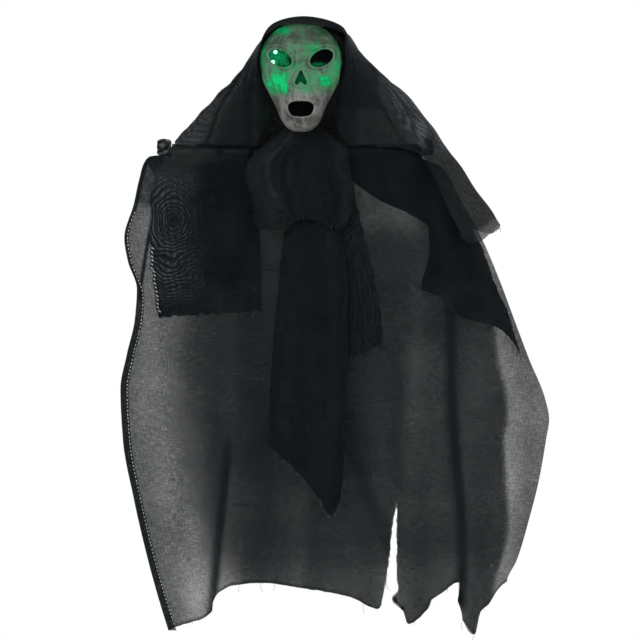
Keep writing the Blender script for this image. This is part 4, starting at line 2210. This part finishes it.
@dataclass
class HangRing:
    """A D of round wire that hangs the whole piece, lying back at rest."""

    wire_r: float = 0.0015
    half_w: float = 0.013
    side: float = 0.008

    def build(self, finish: bpy.types.Material) -> bpy.types.Object:
        """Bends the wire and makes it a mesh.

        Args:
            finish: Its steel.

        Returns:
            The ring.
        """
        arc = [math.pi * k / 40 for k in range(41)]
        corner = [math.pi / 2 * k / 6 for k in range(1, 7)]
        r = self.wire_r
        path = [(self.half_w - r, 0.0)]
        path += [(self.half_w - r + r * math.sin(a), r - r * math.cos(a)) for a in corner]
        path += [(self.half_w * math.cos(a), self.side + self.half_w * math.sin(a)) for a in arc]
        path += [(-x, y) for x, y in reversed(path[:7])]
        curve = bpy.data.curves.new("ring_wire", "CURVE")
        curve.dimensions, curve.bevel_depth, curve.bevel_resolution = "3D", self.wire_r * 0.999, 4
        line = curve.splines.new("POLY")
        line.points.add(len(path) - 1)
        for point, (x, y) in zip(line.points, path):
            point.co = (x, y, 0.0, 1.0)
        line.use_cyclic_u = True
        choose(linked("ring_wire", curve))
        bpy.ops.object.convert(target="MESH")
        return present(shade_round(bpy.context.object), finish, "hang_ring", "hanging ring", "ring")


@dataclass
class LampUnit:
    """The two lamps' lenses and the three coin cells."""

    lens_r: float = 0.0025
    flange_r: float = 0.0029
    flange_h: float = 0.001
    length: float = 0.0086

    def lens(self, node: str, strength: float) -> bpy.types.Object:
        """One lamp: a flange, a straight body and a dome, pointing to the front.

        Args:
            node: The solid that it stands for.
            strength: How bright it is.

        Returns:
            The lamp.
        """
        low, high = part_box(node)
        x, z, back = (low.x + high.x) / 2, (low.z + high.z) / 2, high.y
        middle = (x, back - self.flange_h / 2, z)
        lamp = cylinder(f"{node}_lens", self.flange_r, self.flange_h, middle, "Y")
        pick_faces(lamp, lambda face: face.normal.y < -0.9)
        bpy.ops.mesh.inset(thickness=self.flange_r - self.lens_r, depth=0.0)
        extrude((0.0, -(self.length - self.flange_h - self.lens_r), 0.0))
        before, run = 1.0, 0.0
        for k in range(1, 9):
            angle = math.pi / 2 * k / 8.4
            scale, reach = math.cos(angle), math.sin(angle) * self.lens_r
            extrude((0.0, run - reach, 0.0), (scale / before, 1.0, scale / before))
            before, run = scale, reach
        leave_edit()
        soften(lamp, 40.0)
        lit = LampFinish(f"{node}_lit", (x, low.y + 0.0012, z), strength).build()
        return present(lamp, lit, node, "lamp")

    def cells(self, finish: bpy.types.Material) -> list[bpy.types.Object]:
        """Three coin cells, modelled once: a can with a rolled edge and a raised cap.

        Args:
            finish: Their steel.

        Returns:
            The cells.
        """
        low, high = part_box("coin_cell_1")
        radius, length = (high.z - low.z) / 2, high.x - low.x
        first = cylinder("coin_cell_1_can", radius, length, tuple((low + high) / 2), "X", 56)
        for way in SIDES:
            pick_faces(first, lambda face, way=way: face.normal.x * way > 0.9)
            bpy.ops.mesh.inset(thickness=radius * (0.14 if way < 0 else 0.07), depth=0.0)
            bpy.ops.mesh.inset(thickness=radius * 0.03, depth=-length * 0.05)
            leave_edit()
        bevel(first, 0.00025, 2)
        soften(first, 40.0)
        cans = [first]
        for k in (2, 3):
            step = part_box(f"coin_cell_{k}")[0].x - low.x
            cans.append(copied(first, f"coin_cell_{k}_can", Matrix.Translation((step, 0.0, 0.0))))
        return [present(can, finish, f"coin_cell_{k}", "coin cell") for k, can in enumerate(cans, 1)]


@dataclass
class Frame:
    """The bar, and the finishes of the solids that are carried over as they are."""

    rod_r: float = 0.004

    def rod(self, finish: bpy.types.Material) -> bpy.types.Object:
        """The shoulder bar with rounded ends.

        Args:
            finish: Its wood.

        Returns:
            The bar.
        """
        low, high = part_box("shoulder_rod")
        middle = ((low.x + high.x) / 2, 0.0, ROD_Z)
        rod = cylinder("bar_dowel", self.rod_r * 0.995, high.x - low.x, middle, "X", 40)
        bevel(rod, 0.0007, 3)
        soften(rod, 40.0)
        return present(rod, finish, "shoulder_rod", "shoulder bar")

    def dress_solids(self, nodes: dict[str, bpy.types.Object]) -> None:
        """Gives the carried solids their finishes.

        Args:
            nodes: The solids by name.
        """
        steel = SteelFinish("pressed_steel").build()
        brass = SteelFinish("plated_contact", (0.70, 0.62, 0.42), 0.3).build()
        black = PlasticFinish("black_moulding", (0.022, 0.023, 0.024), 0.48).build()
        former = PlasticFinish("black_former", (0.016, 0.017, 0.017), 0.6, 500.0).build()
        grey = PlasticFinish("grey_tube", (0.40, 0.40, 0.385), 0.42, 1200.0, 0.25).build()
        knob = PlasticFinish("pale_knob", (0.62, 0.62, 0.58), 0.4, 1600.0, 0.2).build()
        chip = PlasticFinish("chip_resin", (0.018, 0.018, 0.020), 0.45, 2200.0).build()
        red = PlasticFinish("red_insulation", (0.42, 0.018, 0.014), 0.4, 2500.0).build()
        dark = PlasticFinish("black_insulation", (0.016, 0.016, 0.017), 0.4, 2500.0).build()
        wear = {
            "hang_bracket": steel, "switch_body": steel, "contact_leaf": brass, "contact_plate": brass,
            "lamp_case_front": black, "lamp_case_rear": black, "battery_door": black, "head_dome": former,
            "shoulder_tee": black, "neck_post": grey, "switch_slider": knob, "driver_chip": chip,
            "lead_red": red, "lead_black": dark, "circuit_board": BoardFinish("green_board").build(),
            "mask_plate": LitPlateFinish("lit_plate").build(),
        }
        for name, finish in wear.items():
            dress(nodes[name], finish)
            LOG.info("%s: dressed", name)


# Studio -----------------------------------------------------------------------------------------


@dataclass
class Studio:
    """The camera, the soft lights, the white surround and the pale floor.

    Attributes:
        aim: What the middle of the picture shows.
        away: How far off the camera stands.
        view_width: The width that the picture takes in.
        floor_z: The floor's height.
        lit: What the lights face.
        film: The camera's sensor width, in millimetres.
        glow: How much light the surround gives to the object.
    """

    aim: Colour = (0.0277, 0.0, -0.4303)
    away: float = 9.0
    view_width: float = 0.9336
    floor_z: float = -1.02
    lit: Colour = (0.03, 0.0, -0.35)
    film: float = 36.0
    glow: float = 0.42

    def camera(self) -> None:
        """Sets up the level front camera."""
        camera = linked("front_camera", bpy.data.cameras.new("front_camera"))
        camera.data.sensor_width, camera.data.clip_end = self.film, 60.0
        camera.data.lens = self.film * self.away / self.view_width
        camera.location = (self.aim[0], -self.away, self.aim[2])
        camera.rotation_euler = (math.pi / 2, 0.0, 0.0)
        bpy.context.scene.camera = camera

    def lamp(self, name: str, place: Colour, size: float, power: float) -> None:
        """One soft square light that faces the object."""
        lamp = linked(name, bpy.data.lights.new(name, "AREA"))
        lamp.data.shape, lamp.data.size, lamp.data.energy = "SQUARE", size, power
        lamp.location = place
        lamp.rotation_euler = (Vector(place) - Vector(self.lit)).to_track_quat("Z", "Y").to_euler()

    def surround(self) -> None:
        """A surround that is white to the camera and in reflections, and soft light otherwise."""
        world = bpy.data.worlds.new("surround")
        world.use_nodes = True
        bpy.context.scene.world = world
        graph = Graph(world.node_tree)
        rays = graph.add("ShaderNodeLightPath", {}).outputs
        direct = graph.most(rays["Is Camera Ray"], rays["Is Glossy Ray"])
        direct = graph.most(direct, rays["Is Transmission Ray"])
        level = graph.add("ShaderNodeMapRange", {"Value": direct, "To Min": self.glow, "To Max": 1.0})
        background = graph.nodes["Background"]
        graph.feed(background.inputs["Color"], (1.0, 1.0, 1.0))
        graph.feed(background.inputs["Strength"], level.outputs["Result"])

    def floor(self) -> None:
        """A round pale floor under the object."""
        deselect()
        bpy.ops.mesh.primitive_circle_add(
            vertices=96, radius=2.1, fill_type="NGON", location=(0.03, 0.0, self.floor_z)
        )
        floor = newest("floor")
        settle(floor)
        dress(floor, FloorFinish().build())
        floor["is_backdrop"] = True

    def build(self) -> None:
        """Sets up the whole studio."""
        self.camera()
        self.surround()
        self.floor()
        self.lamp("key_light", (-1.9, -3.4, 1.3), 2.0, 66.0)
        self.lamp("fill_light", (2.4, -3.0, 0.3), 2.4, 34.0)
        self.lamp("rim_light", (0.6, 2.6, 1.8), 1.6, 34.0)
        bpy.context.scene.view_settings.view_transform = "Standard"
        LOG.info("studio: ready")


# The whole --------------------------------------------------------------------------------------


def corners() -> list[list[float]]:
    """The whole object's box as plain numbers."""
    low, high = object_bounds()
    return [[float(v) for v in low], [float(v) for v in high]]


def stitch_routes(
    edge: np.ndarray, shift: tuple[float, float], pitch: float, length: float, slant: float = 0.0
) -> list[np.ndarray]:
    """Short stitches that run along an edge.

    Args:
        edge: Points along the edge.
        shift: From the edge to the stitches, across and in depth.
        pitch: From one stitch to the next.
        length: How long a stitch is.
        slant: How far a stitch runs across the edge.

    Returns:
        One route for each stitch.
    """
    far = np.concatenate([[0.0], np.cumsum(np.linalg.norm(np.diff(edge, axis=0), axis=1))])
    chance = np.random.default_rng(len(edge))
    share = np.linspace(0.0, 1.0, 5)
    routes = []
    for place in np.arange(pitch, far[-1] - pitch, pitch):
        at = place + share * length * chance.uniform(0.8, 1.1) + chance.normal(0.0, pitch * 0.06)
        line = np.stack([np.interp(at, far, edge[:, k]) for k in range(3)], axis=1)
        line[:, 0] += shift[0] + slant * (share - 0.5)
        line[:, 1] += shift[1] - 0.0003 * np.sin(math.pi * share)
        routes.append(line)
    return routes


def shared_hem(hem: Rows, own: tuple[Rows, Rows], other: tuple[Rows, Rows]) -> Rows:
    """Gives another cloth the hem that a cloth has at the same places across.

    Args:
        hem: The cloth's hem, as (share across, share down) rows.
        own: The cloth's left and right edges.
        other: The other cloth's edges.

    Returns:
        The other cloth's hem.
    """
    rows: list[tuple[float, float]] = []
    for share, place in hem:
        at = np.array([place])
        start, end = (float(read(swapped(edge), at)[0]) for edge in own)
        first, last = (float(read(swapped(edge), at)[0]) for edge in other)
        found = (start + (end - start) * share - first) / (last - first)
        if not rows or found > rows[-1][0] + 0.002:
            rows.append((found, place))
    return tuple(rows)


def moved_edge(edge: Rows, other: Rows, way: float) -> Rows:
    """Moves a cloth's edge across, by what another edge says at the same heights."""
    return tuple((x + way * float(read(swapped(other), np.array([down]))[0]), down) for x, down in edge)


def main() -> None:
    """Loads the frame, then builds, dresses and reports each piece."""
    logging.basicConfig(level=logging.INFO, format="%(message)s")
    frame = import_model()
    Studio().build()
    steel = SteelFinish("drawn_steel").build()
    Frame().dress_solids(frame["nodes"])
    Frame().rod(WoodFinish("pale_dowel").build())
    HangRing().build(steel)
    Screws().build(steel)
    unit = LampUnit()
    unit.lens("led_upper", 6.0)
    unit.lens("led_lower", 6.0)
    unit.cells(SteelFinish("cell_steel", (0.66, 0.66, 0.67), 0.22).build())
    Mask().build(BoneFinish("bone_paint").build())

    robe_gauze = GauzeFinish("robe_gauze", (0.0030, 0.0070, 0.0084), turn=0.02).build()
    back_gauze = GauzeFinish("robe_back_gauze", (0.0030, 0.0070, 0.0084), 0.00118, -0.05).build()
    sleeve_gauze = GauzeFinish(
        "sleeve_gauze", pitch=0.00106, turn=0.07, ring=(0.008, 0.343), ring_pitch=0.0045
    ).build()
    hood_gauze = GauzeFinish(
        "hood_gauze", pitch=0.00112, turn=-0.03, ring=(0.42, -0.10), ring_pitch=0.0105, glow=True
    ).build()
    scarf_gauze = GauzeFinish("scarf_gauze", (0.0034, 0.0052, 0.0063), 0.00108, 0.04).build()
    neck, left_end, right_end = (0.0, 0.0, -0.145), (-0.1995, 0.0, ROD_Z), (0.185, 0.0, ROD_Z)
    for knot in (
        Knot("neck_knot", "scarf_knot", neck, 2, 0.0105, (0.0166, 0.0166), 0.006, 7, 3),
        Knot("left_knot", "rod_knot_left", left_end, 0, 0.0107, (0.0108, 0.0124), 0.004, 5, 5, 0.003, 1.5),
        Knot("right_knot", "rod_knot_right", right_end, 0, 0.0083, (0.0104, 0.0124), 0.004, 5, 8, 0.003),
    ):
        knot.build(scarf_gauze)

    left: Rows = (
        (-0.94, 0.0), (-0.94, 0.0088), (-1.075, 0.0125), (-1.125, 0.020), (-1.18, 0.064), (-1.218, 0.113),
        (-1.288, 0.183), (-1.262, 0.23), (-1.196, 0.288), (-1.211, 0.35), (-1.269, 0.422), (-1.316, 0.494),
        (-1.298, 0.597), (-1.218, 0.72), (-1.116, 0.844), (-1.036, 0.926), (-0.955, 1.0),
    )
    right: Rows = (
        (0.88, 0.0), (0.88, 0.017), (1.02, 0.035), (1.16, 0.103), (1.32, 0.185), (1.444, 0.267),
        (1.554, 0.35), (1.663, 0.432), (1.78, 0.514), (1.809, 0.556), (1.787, 0.597), (1.736, 0.679),
        (1.663, 0.761), (1.575, 0.844), (1.502, 0.889), (1.488, 1.0),
    )
    inset_left: Rows = (
        (0.0, 0.035), (0.18, 0.08), (0.28, 0.18), (0.24, 0.25), (0.17, 0.35), (0.30, 0.51), (0.32, 0.626),
        (0.26, 0.741), (0.27, 0.844), (0.30, 0.926), (0.33, 1.0),
    )
    inset_right: Rows = (
        (0.0, 0.035), (0.05, 0.19), (0.125, 0.35), (0.235, 0.473), (0.285, 0.597), (0.124, 0.761),
        (0.087, 0.844), (0.07, 0.885), (0.05, 1.0),
    )
    front = Robe("robe_front_cloth", "robe_front", Side.FRONT, left, right, 101)
    front.build(robe_gauze)
    back_left, back_right = moved_edge(left, inset_left, 1.0), moved_edge(right, inset_right, -1.0)
    back = Robe("robe_back_cloth", "robe_back", Side.BACK, back_left, back_right, 131, 1.0035)
    back.hem_left = shared_hem(front.hem_left, (left, front.slit_left), (back_left, back.slit_left))
    back.hem_right = shared_hem(front.hem_right, (front.slit_right, right), (back.slit_right, back_right))
    back.build(back_gauze)

    sleeve_left = Sleeve(
        "sleeve_left_cloth", "sleeve_left",
        ((-0.94, 0.0), (-0.94, 0.017), (-1.05, 0.04), (-1.10, 0.11), (-1.10, 0.20), (-1.04, 0.346)),
        ((-0.39, 0.0), (-0.37, 0.04), (-0.335, 0.09), (-0.30, 0.20), (-0.284, 0.346)),
        ((0.0, 0.346), (0.3, 0.342), (0.62, 0.338), (1.0, 0.333)), 151, (0.165, 0.46), 0.95,
    )
    sleeve_left.build(sleeve_gauze)
    sleeve_right = Sleeve(
        "sleeve_right_cloth", "sleeve_right",
        ((0.32, 0.0), (0.38, 0.06), (0.54, 0.10), (0.80, 0.135), (0.94, 0.165), (0.94, 0.20), (0.88, 0.29),
         (1.00, 0.30), (1.05, 0.345), (1.30, 0.37), (1.58, 0.44)),
        ((0.88, 0.0), (0.88, 0.017), (1.00, 0.035), (1.13, 0.103), (1.29, 0.185), (1.40, 0.267), (1.52, 0.35),
         (1.62, 0.44)),
        ((0.0, 0.29), (0.10, 0.33), (0.35, 0.352), (0.60, 0.37), (0.82, 0.405), (1.0, 0.432)), 161,
        (0.115, 0.50), light=0.3,
    )
    sleeve_right.build(sleeve_gauze)

    rear_tail = ScarfPiece(
        "tail_rear_cloth", "scarf_tail_rear",
        ((-0.06, 0.0), (0.06, 0.35), (0.10, 0.70), (0.12, 1.0)),
        ((0.12, 0.0), (0.46, 0.30), (0.60, 0.55), (0.73, 0.85), (0.74, 1.0)),
        ((0.0, 0.985), (0.5, 1.0), (0.86, 0.965), (1.0, 0.95)), 0.350, 0, 171, (0.080, 0.35), beat=0.10,
    )
    front_tail = ScarfPiece(
        "tail_front_cloth", "scarf_tail_front",
        ((-0.10, 0.0), (-0.13, 0.21), (-0.20, 0.405), (-0.27, 0.636), (-0.295, 0.82), (-0.27, 1.0)),
        ((0.10, 0.0), (0.28, 0.212), (0.42, 0.386), (0.43, 0.60), (0.425, 0.70), (0.40, 0.85), (0.355, 0.96),
         (0.33, 1.0)),
        ((0.0, 0.824), (0.30, 0.875), (0.60, 0.935), (0.92, 1.0), (1.0, 0.965)), 0.581, 1, 181, (0.100, 0.58),
        furrow=0.0022,
        lights=(
            (((0.0, 0.25), (0.45, 0.22), (0.95, 0.20)), 0.10, 0.010),
            (((0.05, 0.72), (0.5, 0.78), (0.95, 0.80)), 0.08, 0.014),
            (((0.55, 0.50), (1.0, 0.62)), 0.09, 0.010),
        ),
    )
    bib = ScarfPiece(
        "bib_cloth", "scarf_bib",
        ((-0.11, 0.0), (-0.125, 0.068), (-0.19, 0.144), (-0.31, 0.226), (-0.44, 0.34), (-0.495, 0.45),
         (-0.50, 0.57), (-0.43, 0.73), (-0.40, 1.0)),
        ((0.13, 0.0), (0.16, 0.068), (0.24, 0.144), (0.32, 0.20), (0.445, 0.305), (0.43, 0.418),
         (0.465, 0.531), (0.49, 0.679), (0.46, 0.835), (0.37, 1.0)),
        ((0.0, 0.975), (0.20, 0.985), (0.355, 1.0), (0.40, 0.93), (0.50, 0.89), (0.70, 0.925), (1.0, 0.985)),
        0.168, 2, 191, (0.150, 0.168), 1.0, 0.003, (0.37, 0.0042), 0.005,
        lights=(
            (((0.08, 0.22), (0.45, 0.10), (0.75, 0.14), (1.0, 0.20)), 0.11, 0.032),
            (((0.06, 0.30), (0.40, 0.20), (0.80, 0.24)), 0.030, 0.052),
            (((0.15, 0.34), (0.55, 0.29), (1.0, 0.30)), 0.022, 0.026),
            (((0.10, 0.42), (0.50, 0.42), (0.90, 0.44)), 0.035, 0.018),
            (((0.05, 0.55), (0.35, 0.60), (0.90, 0.66)), 0.10, 0.010),
            (((0.20, 0.90), (0.55, 0.92), (0.95, 0.95)), 0.06, 0.028),
        ),
    )
    for piece in (rear_tail, front_tail, bib):
        piece.build(scarf_gauze)
    hood = Hood()
    hood.build(hood_gauze)

    sewn = stitch_routes(front.left_edge[22:], (0.0, -0.0013), 0.0054, 0.0030)
    sewn += stitch_routes(sleeve_left.outer[46:], (0.0030, -0.0012), 0.0060, 0.0034, 0.0026)
    stitches = thread_tubes("hem_stitches", sewn, 0.00078)
    dress(stitches, ThreadFinish("hem_thread", (0.50, 0.51, 0.51)).build())
    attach(stitches, "figure")
    LOG.info("hem_stitches: %d stitches", len(sewn))

    loose = []
    for edge, count, seed, reach, outward in (
        (front.hems[0], 6, 7, 0.012, (0.0, 0.0, -1.0)),
        (front.hems[1], 6, 8, 0.014, (0.0, 0.0, -1.0)),
        (front.slit, 8, 9, 0.009, (1.0, 0.0, -0.4)),
        (sleeve_left.hem_line, 16, 10, 0.008, (0.0, -0.1, -1.0)),
        (sleeve_right.hem_line[44:], 26, 11, 0.016, (0.1, -0.1, -1.0)),
        (front_tail.hem_line, 26, 12, 0.007, (0.2, -0.1, -1.0)),
        (front_tail.right_line[-24:], 10, 17, 0.006, (1.0, -0.1, -0.3)),
        (rear_tail.hem_line, 8, 13, 0.008, (0.1, -0.1, -1.0)),
        (bib.hem_line, 12, 14, 0.005, (0.0, -0.2, -1.0)),
        (bib.left_line, 12, 15, 0.005, (-1.0, -0.2, -0.2)),
        (hood.right_hem, 8, 16, 0.008, (0.3, -0.2, -1.0)),
    ):
        loose += fringe(edge, count, seed, reach, outward)
    threads = thread_tubes("loose_threads", loose, 0.00022, 4)
    dress(threads, ThreadFinish("loose_thread", (0.020, 0.023, 0.024)).build())
    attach(threads, "figure")
    LOG.info("loose_threads: %d threads", len(loose))


if __name__ == "__main__":
    main()
